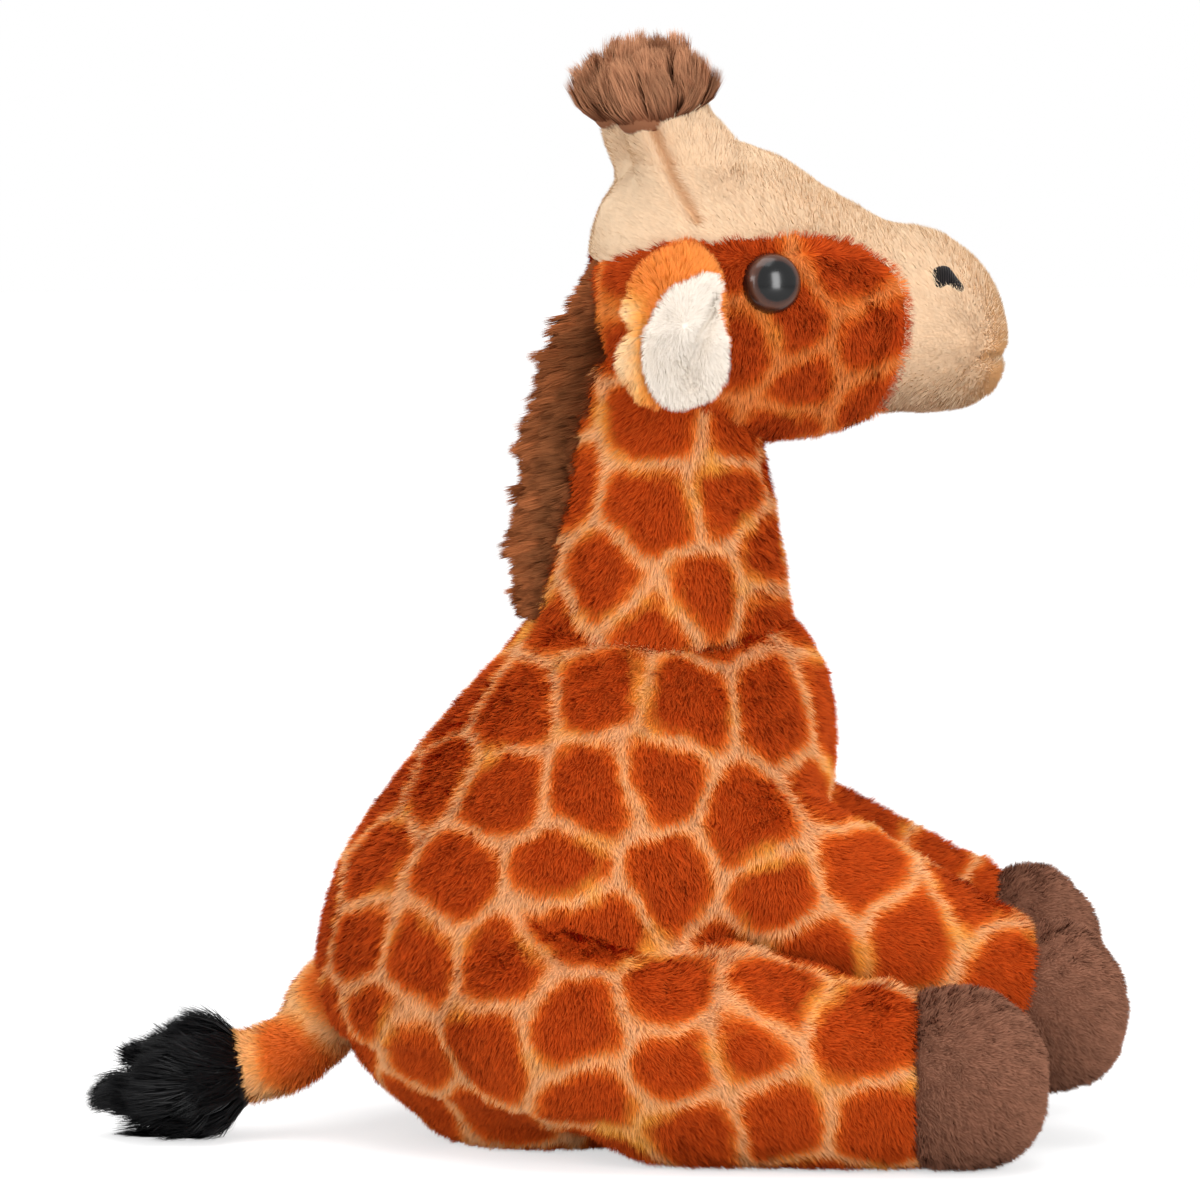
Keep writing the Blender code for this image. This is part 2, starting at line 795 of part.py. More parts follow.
def make_foreleg(side, torso, parts, cutters, materials, root):
    leg = foreleg_form(side, parts, materials)
    pieces = [leg] + make_hoof("fore", side, parts, materials)
    place = sided(SHOULDER_PIVOT, side)
    lift = LEFT_FORELEG_LIFT if side == LEFT else 0.0
    limits = (SHOULDER_RANGE[0] - lift, SHOULDER_RANGE[1] - lift)
    angles = [-angle for angle in steps_over(limits, 4, lift)]
    room_name = f"shoulder_room_{SIDE_NAMES[side]}"
    cut(torso, swept_room(room_name, leg, cutters, place, Y_AXIS, angles, 44 * MM))
    turn = (0.0, -math.radians(lift), 0.0)
    pivot = make_pivot(f"shoulder_{SIDE_NAMES[side]}", place, parts, root, turn)
    for piece in pieces:
        hang(piece, pivot)
    return pieces


def make_hind_leg(side, torso, floor, parts, cutters, materials, root):
    leg = hind_leg_form(side, parts, materials)
    pieces = [leg] + make_hoof("hind", side, parts, materials)
    place = sided(HIP_PIVOT, side)
    angles = [side * angle for angle in steps_over(HIP_RANGE, 2)]
    room_name = f"hip_room_{SIDE_NAMES[side]}"
    cut(torso, swept_room(room_name, leg, cutters, place, Z_AXIS, angles, 75 * MM, HIP_ROOM))
    for piece in pieces[:2]:
        cut(piece, floor)
    pivot = make_pivot(f"hip_{SIDE_NAMES[side]}", place, parts, root)
    for piece in pieces:
        hang(piece, pivot)
    return pieces


def make_tail(torso, parts, cutters, materials, root):
    tail = tail_form(parts, materials)
    place = point(*TAIL_PIVOT)
    angles = steps_over(TAIL_RANGE, 5)
    cut(torso, swept_room("tail_room", tail, cutters, place, Z_AXIS, angles, 22 * MM))
    mesh = tuft_mesh(
        "tail_tuft",
        point(-97.6, 0.0, 18.85),
        Vector((-7.5, 0.0, -0.7)).normalized(),
        ((0.0, 9.0), (4.0, 13.2), (11.0, 15.6), (20.0, 14.6), (30.0, 9.0), (38.0, 3.4), (31.0, 1.6)),
        lobes=9,
        ragged=0.07,
        tip_ragged=2.4,
    )
    tuft = new_object("tail_tuft", mesh, parts, materials["tail_pile"])
    pivot = make_pivot("tail_root", place, parts, root)
    for piece in (tail, tuft):
        hang(piece, pivot)
    return [tail, tuft]


def make_neck(torso, parts, cutters, materials, root):
    neck = neck_form(parts, materials)
    place = point(*NECK_PIVOT)
    angles = steps_over(NECK_LEAN_RANGE, 3)
    cut(torso, swept_room("neck_room", neck, cutters, place, Y_AXIS, angles, 35 * MM))
    mane = new_object(
        "mane_neck",
        mane_mesh("mane_neck", between(MANE_NECK_ROWS, MANE_NECK_LOCKS)),
        parts,
        materials["mane_pile"],
    )
    cut(mane, grown_copy(neck, cutters, "neck_for_mane"))
    pivot = make_pivot("neck_root", place, parts, root)
    for piece in (neck, mane):
        hang(piece, pivot)
    return neck, pivot


def make_eye(side, parts, cutters, materials):
    """An eye and its washer, with the cutters for their sockets and the place that all four turn to."""
    label = SIDE_NAMES[side]
    turn = eye_turn(side)
    eye = turned(f"eye_{label}", eye_profile(), parts, materials["eye_plastic"])
    washer = turned(f"eye_washer_{label}", washer_profile(), parts, materials["washer_plastic"])
    seat_profile, hidden_profile = socket_profiles()
    seat = turned(f"eye_seat_{label}", seat_profile, cutters)
    hidden = turned(f"eye_bore_{label}", hidden_profile, cutters)
    return [eye, washer], [seat, hidden], turn


def make_nostril(side, parts, materials):
    """A small padded patch of satin stitch on the side of the nose."""
    bm = bmesh.new()
    bmesh.ops.create_uvsphere(bm, u_segments=12, v_segments=8, radius=1.0)
    for vertex in bm.verts:
        x, y, z = vertex.co
        droop = 0.35 * x * abs(x)
        vertex.co = point(x * NOSTRIL_RADII[0], (y - droop) * NOSTRIL_RADII[1], z * NOSTRIL_RADII[2])
    mesh = bpy.data.meshes.new(f"nostril_{SIDE_NAMES[side]}")
    bm.to_mesh(mesh)
    bm.free()
    mesh.shade_smooth()
    outward = Vector((0.12, side * 0.86, 0.5)).normalized()
    ahead = (X_AXIS - outward * X_AXIS.dot(outward)).normalized()
    upward = outward.cross(ahead) * side
    frame = Matrix((ahead, upward, outward)).transposed().to_4x4()
    place = sided(NOSTRIL_PLACE, side) + outward * 1.3 * MM
    mesh.transform(Matrix.Translation(place) @ frame)
    if frame.determinant() < 0:
        mesh.flip_normals()
    return new_object(mesh.name, mesh, parts, materials["nostril_thread"])


def make_horn(side, head_shape, parts, materials):
    """A horn, cut to the crown that it stands on, and the tuft of pile sewn to its slanted end."""
    label = SIDE_NAMES[side]
    horn = stuffed(
        f"horn_{label}",
        rings_of(HORN_ROWS, side),
        parts,
        materials["tan_velour"],
        sides=SMALL_SIDES,
        flat=("start", "end"),
    )
    cut(horn, head_shape)
    x, y, z = HORN_ROWS[-1][:3]
    lean = (Vector(HORN_ROWS[-1][:3]) - Vector(HORN_ROWS[-2][:3])).normalized()
    direction = Vector((lean.x, side * lean.y, lean.z))
    mesh = tuft_mesh(
        f"horn_tuft_{label}",
        point(x, side * y, z) + direction * 0.4 * MM,
        direction,
        ((0.0, 11.2), (3.5, 13.2), (9.0, 14.6), (16.5, 13.4), (9.0, 5.0)),
        lobes=9,
        ragged=0.10,
        tip_ragged=3.0,
        drift=Vector((5.5, 0, 1.5)),
    )
    tuft = new_object(f"horn_tuft_{label}", mesh, parts, materials["horn_tuft_pile"])
    return [horn, tuft]


def ear_axis(side):
    """The ear's hinge axis in the head's frame. A positive turn lifts the ear outwards."""
    skew = math.radians(EAR_HINGE_SKEW)
    return Vector((side * math.cos(skew), -math.sin(skew), 0.0))


def make_ear(side, parts, materials):
    label = SIDE_NAMES[side]
    ear = stuffed(
        f"ear_{label}",
        rings_of(EAR_ROWS, side),
        parts,
        materials["spotted_plush"],
        sides=SMALL_SIDES,
        wide=Y_AXIS,
    )
    lining = stuffed(
        f"ear_lining_{label}",
        rings_of(EAR_LINING_ROWS, side),
        parts,
        materials["ear_lining_plush"],
        sides=SMALL_SIDES,
        wide=Y_AXIS,
    )
    return [ear, lining]


def make_head(neck, neck_pivot, parts, cutters, materials):
    head = head_form("head", parts, materials["spotted_plush"])
    face = head_form("face_panel", parts, materials["muzzle_velour"])
    outline = FACE_SEAM + FACE_SEAM_OUTSIDE
    half_width = 60 * MM
    face_room = outline_prism("face_room", outline, half_width, cutters, grow=GAP)
    face_keep = outline_prism("face_keep", outline, half_width, cutters)
    cut(head, face_room)
    cut(face, face_keep, "INTERSECT")

    place = point(*HEAD_PIVOT)
    pivot = make_pivot("head_root", place, parts, neck_pivot, (0.0, 0.0, math.radians(HEAD_TURN)))
    nod_axis = Matrix.Rotation(math.radians(HEAD_TURN), 3, "Z") @ Y_AXIS
    angles = [-angle for angle in steps_over(HEAD_NOD_RANGE, 4)]
    head_room = swept_room("head_room", neck, cutters, place, nod_axis, angles, 34 * MM)
    cut(head, head_room)

    pieces = [head, face]
    head_shape = grown_copy(face, cutters, "head_shape")
    helpers = [face_room, face_keep, head_shape]
    for side in (RIGHT, LEFT):
        eye_pieces, sockets, turn = make_eye(side, parts, cutters, materials)
        for obj in eye_pieces + sockets:
            seat_turned(obj, turn)
        for socket in sockets:
            as_helper(socket)
            cut(head, socket)
        pieces += eye_pieces
        helpers += sockets
        pieces.append(make_nostril(side, parts, materials))
        pieces += make_horn(side, head_shape, parts, materials)

    mane = new_object(
        "mane_head",
        mane_mesh("mane_head", between(MANE_HEAD_ROWS, MANE_HEAD_LOCKS)),
        parts,
        materials["mane_pile"],
    )
    cut(mane, head_shape)
    cut(mane, head_room)
    pieces.append(mane)

    for side in (RIGHT, LEFT):
        label = SIDE_NAMES[side]
        ear_pieces = make_ear(side, parts, materials)
        ear_place = sided(EAR_PIVOT, side)
        lift = LEFT_EAR_LIFT if side == LEFT else 0.0
        axis = ear_axis(side)
        angles = steps_over(EAR_RANGE, 5)
        room = swept_room(f"ear_room_{label}", ear_pieces[0], cutters, ear_place, axis, angles, 9 * MM)
        cut(head, room)
        helpers.append(room)
        turn = Matrix.Rotation(math.radians(lift), 3, axis).to_euler("XYZ")
        ear_pivot = make_pivot(f"ear_root_{label}", ear_place, parts, pivot, turn)
        for piece in ear_pieces:
            hang(piece, ear_pivot)

    for piece in pieces:
        hang(piece, pivot)
    for helper in helpers:
        hang(helper, pivot)
    return pieces


def seat_turned(obj, turn):
    """Sets a turned piece on its place by its own location and rotation."""
    obj.matrix_basis = turn


def main():
    clear_scene()
    parts = new_collection("plush_giraffe")
    cutters = new_collection("cutters")
    materials = {name: make_material(name) for name in COLOURS}
    materials["eye_plastic"] = make_material("eye_plastic", 0.08)
    materials["washer_plastic"] = make_material("washer_plastic", 0.45)

    floor = floor_block(cutters)
    root = make_pivot("seat_origin", Vector((0, 0, 0)), parts)
    torso = torso_form(parts, materials)
    cut(torso, floor)
    make_seat(torso, parts, cutters, materials)
    for side in (RIGHT, LEFT):
        make_hind_leg(side, torso, floor, parts, cutters, materials, root)
        make_foreleg(side, torso, parts, cutters, materials, root)
    make_tail(torso, parts, cutters, materials, root)
    neck, neck_pivot = make_neck(torso, parts, cutters, materials, root)
    make_head(neck, neck_pivot, parts, cutters, materials)
    bpy.context.view_layer.update()


main()
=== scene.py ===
# %% [markdown]
# A sitting plush giraffe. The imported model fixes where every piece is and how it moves. This lesson
# dresses it: soft skins that swell and flow into each other, and a pile of fine strands on every skin,
# because a plush toy is seen by its pile and not by the cloth under it.

import math

import bpy
import numpy as np
from mathutils import Matrix, Vector


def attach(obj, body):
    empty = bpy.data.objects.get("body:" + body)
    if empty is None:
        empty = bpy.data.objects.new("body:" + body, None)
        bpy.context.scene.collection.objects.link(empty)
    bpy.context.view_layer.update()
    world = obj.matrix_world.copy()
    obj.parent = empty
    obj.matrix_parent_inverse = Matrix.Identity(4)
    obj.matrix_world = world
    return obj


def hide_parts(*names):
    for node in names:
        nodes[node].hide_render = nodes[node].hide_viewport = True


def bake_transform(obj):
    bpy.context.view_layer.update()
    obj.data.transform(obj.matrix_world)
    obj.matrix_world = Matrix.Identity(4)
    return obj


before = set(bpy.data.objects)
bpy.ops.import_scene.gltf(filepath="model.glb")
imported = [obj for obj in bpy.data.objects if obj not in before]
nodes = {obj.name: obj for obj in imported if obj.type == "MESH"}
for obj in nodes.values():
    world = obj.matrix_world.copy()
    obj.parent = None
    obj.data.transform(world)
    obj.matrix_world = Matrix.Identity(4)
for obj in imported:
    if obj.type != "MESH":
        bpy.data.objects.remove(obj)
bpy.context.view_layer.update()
MM = 0.001
SIDES = {"right": -1, "left": 1}

# %% [markdown]
# The photograph was taken with a long lens from about two metres, a little above the toy's middle and a
# little round towards its tail. The camera comes first, because the spots are later set out as it sees them.

# %% The camera
CAMERA_AROUND = math.radians(-4.0)
CAMERA_ABOVE = math.radians(5.6)
CAMERA_DISTANCE = 2.0
LOOKED_AT = Vector((0.001, 0.0, 0.144))
VIEW_WIDTH = 0.3204

to_camera = Vector((
    math.sin(CAMERA_AROUND) * math.cos(CAMERA_ABOVE),
    -math.cos(CAMERA_AROUND) * math.cos(CAMERA_ABOVE),
    math.sin(CAMERA_ABOVE),
))
camera_right = Vector((math.cos(CAMERA_AROUND), math.sin(CAMERA_AROUND), 0.0))
camera_up = to_camera.cross(camera_right)
lens = bpy.data.cameras.new("portrait lens")
lens.sensor_width = 36.0
lens.lens = 36.0 * CAMERA_DISTANCE / VIEW_WIDTH
lens.clip_end = 50.0
camera = bpy.data.objects.new("camera", lens)
camera.location = LOOKED_AT + to_camera * CAMERA_DISTANCE
camera.rotation_mode = "QUATERNION"
camera.rotation_quaternion = to_camera.to_track_quat("Z", "Y")
bpy.context.scene.collection.objects.link(camera)
bpy.context.scene.camera = camera
bpy.context.scene.view_settings.view_transform = "Standard"
print("lens", round(lens.lens, 1), "mm")

# %% [markdown]
# A soft thing is easiest to shape as rows of rings along a line, as a sewing pattern gives its girth at
# each height. A smooth curve through the rows gives as many rings as are wanted.


# %% Surfaces from rows
def smooth_rows(rows, count):
    """Catmull-Rom curve through the rows: between two rows each number follows the cubic whose slope at
    a row is half the step from the row before to the row after."""
    rows = np.asarray(rows, float)
    padded = np.vstack([2 * rows[0] - rows[1], rows, 2 * rows[-1] - rows[-2]])
    place = np.linspace(0, len(rows) - 1, count)
    start = np.minimum(place.astype(int), len(rows) - 2)
    share = (place - start)[:, None]
    a, b, c, d = (padded[start + step] for step in range(4))
    return 0.5 * (
        2 * b + (c - a) * share + (2 * a - 5 * b + 4 * c - d) * share**2 + (3 * b - a - 3 * c + d) * share**3
    )


def unit(vectors):
    """Each vector divided by its length."""
    return vectors / np.maximum(np.linalg.norm(vectors, axis=-1, keepdims=True), 1e-12)


def smooth_step(value, low, high):
    """0 below low, 1 above high, and 3t² - 2t³ between them."""
    share = np.clip((value - low) / (high - low), 0, 1)
    return share * share * (3 - 2 * share)


def plateau(value, rise, top, edge, end):
    """Rises from 0 to 1 between rise and top, and falls back to 0 between edge and end."""
    return smooth_step(value, rise, top) * (1 - smooth_step(value, edge, end))


def bell(value, width, power=2):
    """1 at 0 and less on both sides: the exponential of minus the power of value / width."""
    return np.exp(-((value / width) ** power))


def tube(rows, count, around, along=None, seam=None, thinner=0.0):
    """A grid of points on a tube. Row (x, y, z, height, width) is an ellipse round (x, y, z), square to the
    tube's line: centre + across * width * cos(angle) + upward * height * sin(angle). Rings lie square to
    along, where it is given, and the last ones turn square to seam."""
    rows = smooth_rows(rows, count)
    centres = rows[:, :3] * MM
    if along is None:
        tangents = unit(np.gradient(centres, axis=0))
    else:
        tangents = np.tile(unit(np.array(along, float)), (count, 1))
    if seam is not None:
        share = smooth_step(np.linspace(0, 1, count), 0.75, 1.0)[:, None]
        tangents = unit(tangents * (1 - share) + unit(np.array(seam, float)) * share)
    wide = np.array([0.0, 1.0, 0.0])
    across = unit(wide - tangents * (tangents @ wide)[:, None])
    upward = np.cross(tangents, across)
    angle = np.linspace(0, 2 * np.pi, around, endpoint=False)[None, :, None]
    height = np.maximum(rows[:, 3] - thinner, 0.3)[:, None, None] * MM
    width = np.maximum(rows[:, 4] - thinner, 0.3)[:, None, None] * MM
    sideways, up = across[:, None] * width * np.cos(angle), upward[:, None] * height * np.sin(angle)
    return centres[:, None] + sideways + up


def closed_tube(grid):
    """Points and faces of a tube's grid, with a fan of triangles over each end."""
    count, around = grid.shape[:2]
    points = np.vstack([grid.reshape(-1, 3), grid[0].mean(0), grid[-1].mean(0)])
    ring = np.arange(around)
    follow = (ring + 1) % around
    step = (np.arange(count - 1) * around)[:, None]
    after = step + around
    quads = np.stack([step + ring, step + follow, after + follow, after + ring], -1).reshape(-1, 4)
    last = (count - 1) * around
    start = np.stack([np.full(around, count * around), follow, ring], 1)
    end = np.stack([np.full(around, count * around + 1), last + ring, last + follow], 1)
    return points, [quads, np.vstack([start, end])]


def new_mesh(name, points, faces):
    """A mesh from an array of points and a list of face arrays, one for each number of corners."""
    corners = np.concatenate([f.ravel() for f in faces]).astype(np.int32)
    sizes = np.concatenate([np.full(len(f), f.shape[1]) for f in faces])
    mesh = bpy.data.meshes.new(name)
    mesh.vertices.add(len(points))
    mesh.vertices.foreach_set("co", np.asarray(points, np.float32).ravel())
    mesh.loops.add(len(corners))
    mesh.loops.foreach_set("vertex_index", corners)
    mesh.polygons.add(len(sizes))
    mesh.polygons.foreach_set("loop_start", np.concatenate([[0], np.cumsum(sizes)[:-1]]).astype(np.int32))
    mesh.update(calc_edges=True)
    mesh.shade_smooth()
    return mesh


def new_object(name, mesh, material=None):
    """An object that shows the mesh, in the scene."""
    obj = bpy.data.objects.new(name, mesh)
    bpy.context.scene.collection.objects.link(obj)
    if material:
        mesh.materials.append(material)
    return obj


def finished(obj):
    """Points and four-cornered faces of an object after its modifiers. The object is then removed."""
    graph = bpy.context.evaluated_depsgraph_get()
    mesh = obj.evaluated_get(graph).to_mesh()
    points = np.zeros(len(mesh.vertices) * 3, np.float32)
    mesh.vertices.foreach_get("co", points)
    corners = np.zeros(len(mesh.loops), np.int32)
    mesh.loops.foreach_get("vertex_index", corners)
    held = obj.data
    bpy.data.objects.remove(obj)
    bpy.data.meshes.remove(held)
    return points.reshape(-1, 3).astype(float), corners.reshape(-1, 4)


# %% [markdown]
# Where a leg leaves the body, a real toy has no edge: the fabric runs on over the filling. So forms that
# belong together are joined, skinned with one even net of small squares, and rubbed smooth.


# %% Joining and smoothing
def fused(tubes, cell):
    """One even skin of squares, each cell millimetres wide, round all the tubes together."""
    points, faces, start = [], [], 0
    for grid in tubes:
        some, lists = closed_tube(grid)
        points.append(some)
        faces += [array + start for array in lists]
        start += len(some)
    obj = new_object("joined forms", new_mesh("joined forms", np.vstack(points), faces))
    remesh = obj.modifiers.new("even net", "REMESH")
    remesh.mode = "VOXEL"
    remesh.voxel_size = cell * MM
    return finished(obj)


def edges_of(quads):
    """Each edge once, as the numbers of its two points, and how many faces use it."""
    pairs = np.sort(np.concatenate([quads[:, [k, (k + 1) % 4]] for k in range(4)]), axis=1)
    return np.unique(pairs, axis=0, return_counts=True)


def relaxed(points, quads, steps, weight=1.0, keep_size=True):
    """Each point moves half of the way to the mean of its neighbours, then a little more than that back
    out again, which rubs creases away and keeps the size. Without keep_size the second move is left out."""
    edges = edges_of(quads)[0]
    one, other = edges[:, 0], edges[:, 1]
    count = len(points)
    degree = np.maximum(np.bincount(edges.ravel(), minlength=count), 1)[:, None]
    weight = np.broadcast_to(weight, count)[:, None]
    for share in ((0.5, -0.52) if keep_size else (0.5,)) * steps:
        total = np.stack([
            np.bincount(one, points[other, k], count) + np.bincount(other, points[one, k], count)
            for k in range(3)
        ], 1)
        points = points + (total / degree - points) * share * weight
    return points


def face_vectors(points, quads):
    """The cross product of each face's diagonals, which is square to it and twice as long as its area."""
    return np.cross(points[quads[:, 2]] - points[quads[:, 0]], points[quads[:, 3]] - points[quads[:, 1]])


def normals_of(points, quads):
    """Each point's normal: the sum of its faces' vectors, made as long as 1."""
    face = face_vectors(points, quads)
    total = np.stack([
        sum(np.bincount(quads[:, k], face[:, axis], len(points)) for k in range(4)) for axis in range(3)
    ], 1)
    return unit(total)


def distance_to_line(points, line):
    """Distance from each point to the nearest part of a line of straight pieces, and how far along it."""
    line = np.asarray(line, float)
    best, place = np.full(len(points), 1e9), np.zeros(len(points))
    for index, (start, end) in enumerate(zip(line[:-1], line[1:])):
        way = end - start
        share = np.clip(((points - start) @ way) / (way @ way), 0, 1)
        apart = np.linalg.norm(points - start - share[:, None] * way, axis=1)
        place = np.where(apart < best, index + share, place)
        best = np.minimum(best, apart)
    return best, place


def soft_noise(points, size, seed, channels=1):
    """Smooth numbers from about -1 to 1: the sum of twelve waves, each about size metres long, that run
    through space in different directions."""
    rng = np.random.default_rng(seed)
    waves = unit(rng.normal(size=(12, 3))) * (2 * np.pi / size) * rng.uniform(0.6, 1.4, (12, 1))
    angle = points @ waves.T
    return np.stack([np.sin(angle + rng.uniform(0, 2 * np.pi, 12)).sum(1) / 4 for _ in range(channels)], 1)


# %% [markdown]
# Stuffing presses a cover out from inside, and the cover puckers where it is sewn down. A short cloth
# simulation does that: pressure inside, no gravity, the sewn rims held, and a limit on how far a point goes.


# %% Stuffing
STUFFING_PRESSURE = 4.0
STUFFING_FRAMES = 20
HEM_DEPTH = 1.2


def stuffed(points, quads, sewn, most):
    """The skin after it is blown up as cloth, with no point further from its start than most millimetres."""
    scene = bpy.context.scene
    obj = new_object("cover on trial", new_mesh("cover on trial", points, [quads]))
    group = obj.vertex_groups.new(name="sewn")
    group.add(np.flatnonzero(sewn).tolist(), 1.0, "REPLACE")
    cloth = obj.modifiers.new("stuffing", "CLOTH").settings
    cloth.use_pressure = True
    cloth.uniform_pressure_force = STUFFING_PRESSURE
    cloth.effector_weights.gravity = 0.0
    cloth.vertex_group_mass = "sewn"
    for number in range(1, STUFFING_FRAMES + 1):
        scene.frame_set(number)
    blown, _ = finished(obj)
    scene.frame_set(1)
    move = blown - points
    length = np.linalg.norm(move, axis=1, keepdims=True)
    print("  stuffing moved a point by", round(float(length.mean()) / MM, 2), "mm on average")
    return points + move * np.minimum(1, most * MM / np.maximum(length, 1e-9))


def refined(points, quads):
    """The skin after one round of subdivision."""
    obj = new_object("finer cover", new_mesh("finer cover", points, [quads]))
    finer = obj.modifiers.new("finer", "SUBSURF")
    finer.levels = finer.render_levels = 1
    return finished(obj)


def hemmed(points, quads, normals):
    """The skin with its open rims turned in, as a seam turns the cloth's edge in. Also each point's normal,
    which a hem takes from its rim."""
    edges, used = edges_of(quads)
    rim = edges[used == 1]
    if not len(rim):
        return points, quads, normals
    ends, index = np.unique(rim, return_inverse=True)
    index = index.reshape(rim.shape)
    inner = points[ends] - normals[ends] * HEM_DEPTH * MM
    directed = np.concatenate([quads[:, [k, (k + 1) % 4]] for k in range(4)])
    forward = set(map(tuple, directed.tolist()))
    ahead = np.array([tuple(pair) in forward for pair in rim.tolist()])
    hem = np.stack([rim[:, 1], rim[:, 0], len(points) + index[:, 0], len(points) + index[:, 1]], 1)
    hem[~ahead] = hem[~ahead][:, [1, 0, 3, 2]]
    return np.vstack([points, inner]), np.vstack([quads, hem]), np.vstack([normals, normals[ends]])


def part_of(points, quads, wanted):
    """The faces marked in wanted, with only the points they use and those points' old numbers."""
    kept = quads[wanted]
    used, index = np.unique(kept, return_inverse=True)
    return points[used], index.reshape(-1, 4), used


print("tools for soft forms are ready")

# %% [markdown]
# The body. Each row is a ring of the cover in millimetres: x, y, z, half height and half width. For the
# torso and the neck the rings lie flat, so their half height runs fore and aft.

# %% Rows of the soft forms
UNDER_PILE = 0.7
TORSO_ROWS = (
    (-11, 0, -1.5, 22, 26), (-15.5, 0, 4.5, 35.4, 40.5), (-20.0, 0, 18, 46.2, 51.4),
    (-19.8, 0, 36, 54.6, 57.8), (-12.8, 0, 56, 60.6, 57.8), (-4.4, 0, 77, 62.0, 54.4),
    (6.2, 0, 99, 57.2, 47.6), (14.5, 0, 120, 48.0, 40.0), (17.4, 0, 131, 40.6, 34.4),
    (17.7, 0, 137, 36.4, 30.6), (18, 0, 140.4, 30, 25), (18, 0, 142, 16, 13),
)
NECK_ROWS = (
    (17.7, 0, 108, 16, 12), (17.7, 0, 114, 25, 20), (17.7, 0, 124, 32, 27), (17.7, 0, 137, 34.0, 29.8),
    (18.3, 0, 151, 32.0, 28.3), (18.7, 0, 168, 28.9, 26.2), (18.5, 0, 183, 26.0, 24.5),
    (18.5, 0, 198, 24.0, 23.5), (18.5, 0, 209, 20.5, 20.5), (18.5, 0, 218, 12, 12), (18.5, 0, 221, 3, 3),
)
FORELEG_ROWS = (
    (19.5, 33, 91, 4, 4), (22, 33, 89.6, 10, 8.5), (28, 33, 86, 16.5, 14), (38, 33, 80, 20.8, 16.8),
    (56, 31.4, 70.6, 21.4, 17), (76, 28.6, 58.8, 20.6, 17), (94, 26.0, 48.4, 20.0, 17),
    (110.5, 24.0, 40.4, 20.4, 17.4),
)
FORE_SEAM = (0.985, -0.09, -0.15)
FORE_HOOF_ROWS = (
    (106, 24.5, 42, 17, 15), (110.8, 23.95, 40.4, 19.8, 17), (113, 23.8, 39.6, 21.6, 18.4),
    (121.5, 23.0, 36.6, 23.3, 19.7), (129, 22.3, 35.2, 20.6, 18), (134.5, 21.8, 34.8, 15.8, 14.2),
    (137.8, 21.5, 34.6, 10, 9), (139, 21.4, 34.5, 3, 3),
)
HIND_LEG_ROWS = (
    (-44, 45, 37.2, 4, 4), (-41.5, 45.2, 37.2, 12, 10), (-34, 45.5, 37.2, 22, 19),
    (-18, 46, 37.0, 29.6, 25.4), (0, 48.2, 33.2, 29.4, 24.8), (20, 51.0, 27.8, 28.4, 23.8),
    (40, 53.8, 24.9, 25.6, 22.6), (60, 56.6, 23.3, 23.8, 21.6), (80, 59.4, 22.8, 23.3, 21.2),
)
HIND_SEAM = (0.99, 0.14, 0.0)
HIND_HOOF_ROWS = (
    (76, 58.9, 22.6, 19.5, 17.6), (80.2, 59.5, 22.7, 22.5, 20.4), (82.6, 59.8, 22.8, 24, 21.6),
    (93, 61.2, 23.5, 24.7, 22.3), (102, 62.6, 23.4, 22, 20.2), (108, 63.4, 23.6, 17, 15.8),
    (111.6, 63.9, 23.8, 10.5, 9.8), (112.8, 64, 23.8, 3, 3),
)
TAIL_ROWS = (
    (-56, 0, 48, 6, 6), (-61.5, 0, 44.0, 10, 10), (-68.5, 0, 38.4, 11.2, 11), (-75.0, 0, 31.0, 11.3, 10.6),
    (-81.5, 0, 24.2, 10.4, 9.9), (-89.5, 0, 20.2, 9.4, 9.3), (-97, 0, 19.1, 9.0, 9.0),
)
HEAD_ROWS = (
    (-0.6, 0, 228, 3, 3), (0.2, 0, 228, 14, 11), (2.6, 0, 227.6, 22, 18), (8, 0, 226.4, 31, 25.4),
    (19, 0, 225.6, 38.6, 32.4), (33, 0, 226.2, 40.6, 34), (48, 0, 224.6, 38.0, 31.8),
    (63, 0, 220.8, 32.2, 26.8), (78, 0, 219.2, 25.6, 23.2), (91, 0, 217.8, 24.4, 23.4),
    (101, 0, 215.4, 20.4, 20.4), (106.2, 0, 213.6, 15.4, 15.6), (109.2, 0, 212.4, 9, 9.5),
    (110, 0, 212, 2.5, 2.5),
)
HORN_ROWS = (
    (27, 13.5, 232, 17, 13), (25.4, 14, 243, 17.4, 12.6), (22.6, 15, 258, 15.2, 11.6),
    (18, 15.5, 266.5, 12.6, 11.1), (14.4, 16, 273.4, 11.6, 10.8), (12.6, 16.2, 277, 8, 8),
)
EAR_ROWS = (
    (21.0, 29.0, 236.6, 4.5, 1.8), (20.0, 32.5, 235.2, 7.2, 2.4), (17.4, 36.8, 231.8, 10.2, 2.8),
    (13.6, 39.5, 225.5, 12.6, 2.8), (11.4, 40.8, 213.0, 12.9, 2.4), (10.8, 41.4, 204.8, 10.2, 2.0),
    (11.2, 41.8, 200.4, 4.2, 1.3),
)
LINING_ROWS = (
    (21.8, 42.4, 232.4, 2.2, 0.9), (20.4, 43.2, 229.0, 4.6, 1.2), (16.8, 44.1, 222.5, 8.4, 1.6),
    (14.8, 44.6, 215.0, 10.8, 1.8), (14.0, 45.0, 208.0, 10.4, 1.7), (12.8, 45.2, 202.5, 7.4, 1.3),
    (12.4, 45.4, 199.8, 2.4, 0.8),
)
NECK_PIVOT = (17.7, 0.0, 137.0)
HEAD_PIVOT = (18.5, 0.0, 198.0)
SHOULDER = (38.0, 33.0, 80.0)
HIP = (-18.0, 46.0, 37.2)
EAR_ROOT = (21.0, 32.5, 239.0)
HEAD_TURN = math.radians(7.0)
LEFT_FORELEG_LIFT = math.radians(6.5)
LEFT_FORELEG_SHORTER = 5.0
LEFT_EAR_LIFT = math.radians(105.0)
EAR_SKEW = math.radians(28.0)
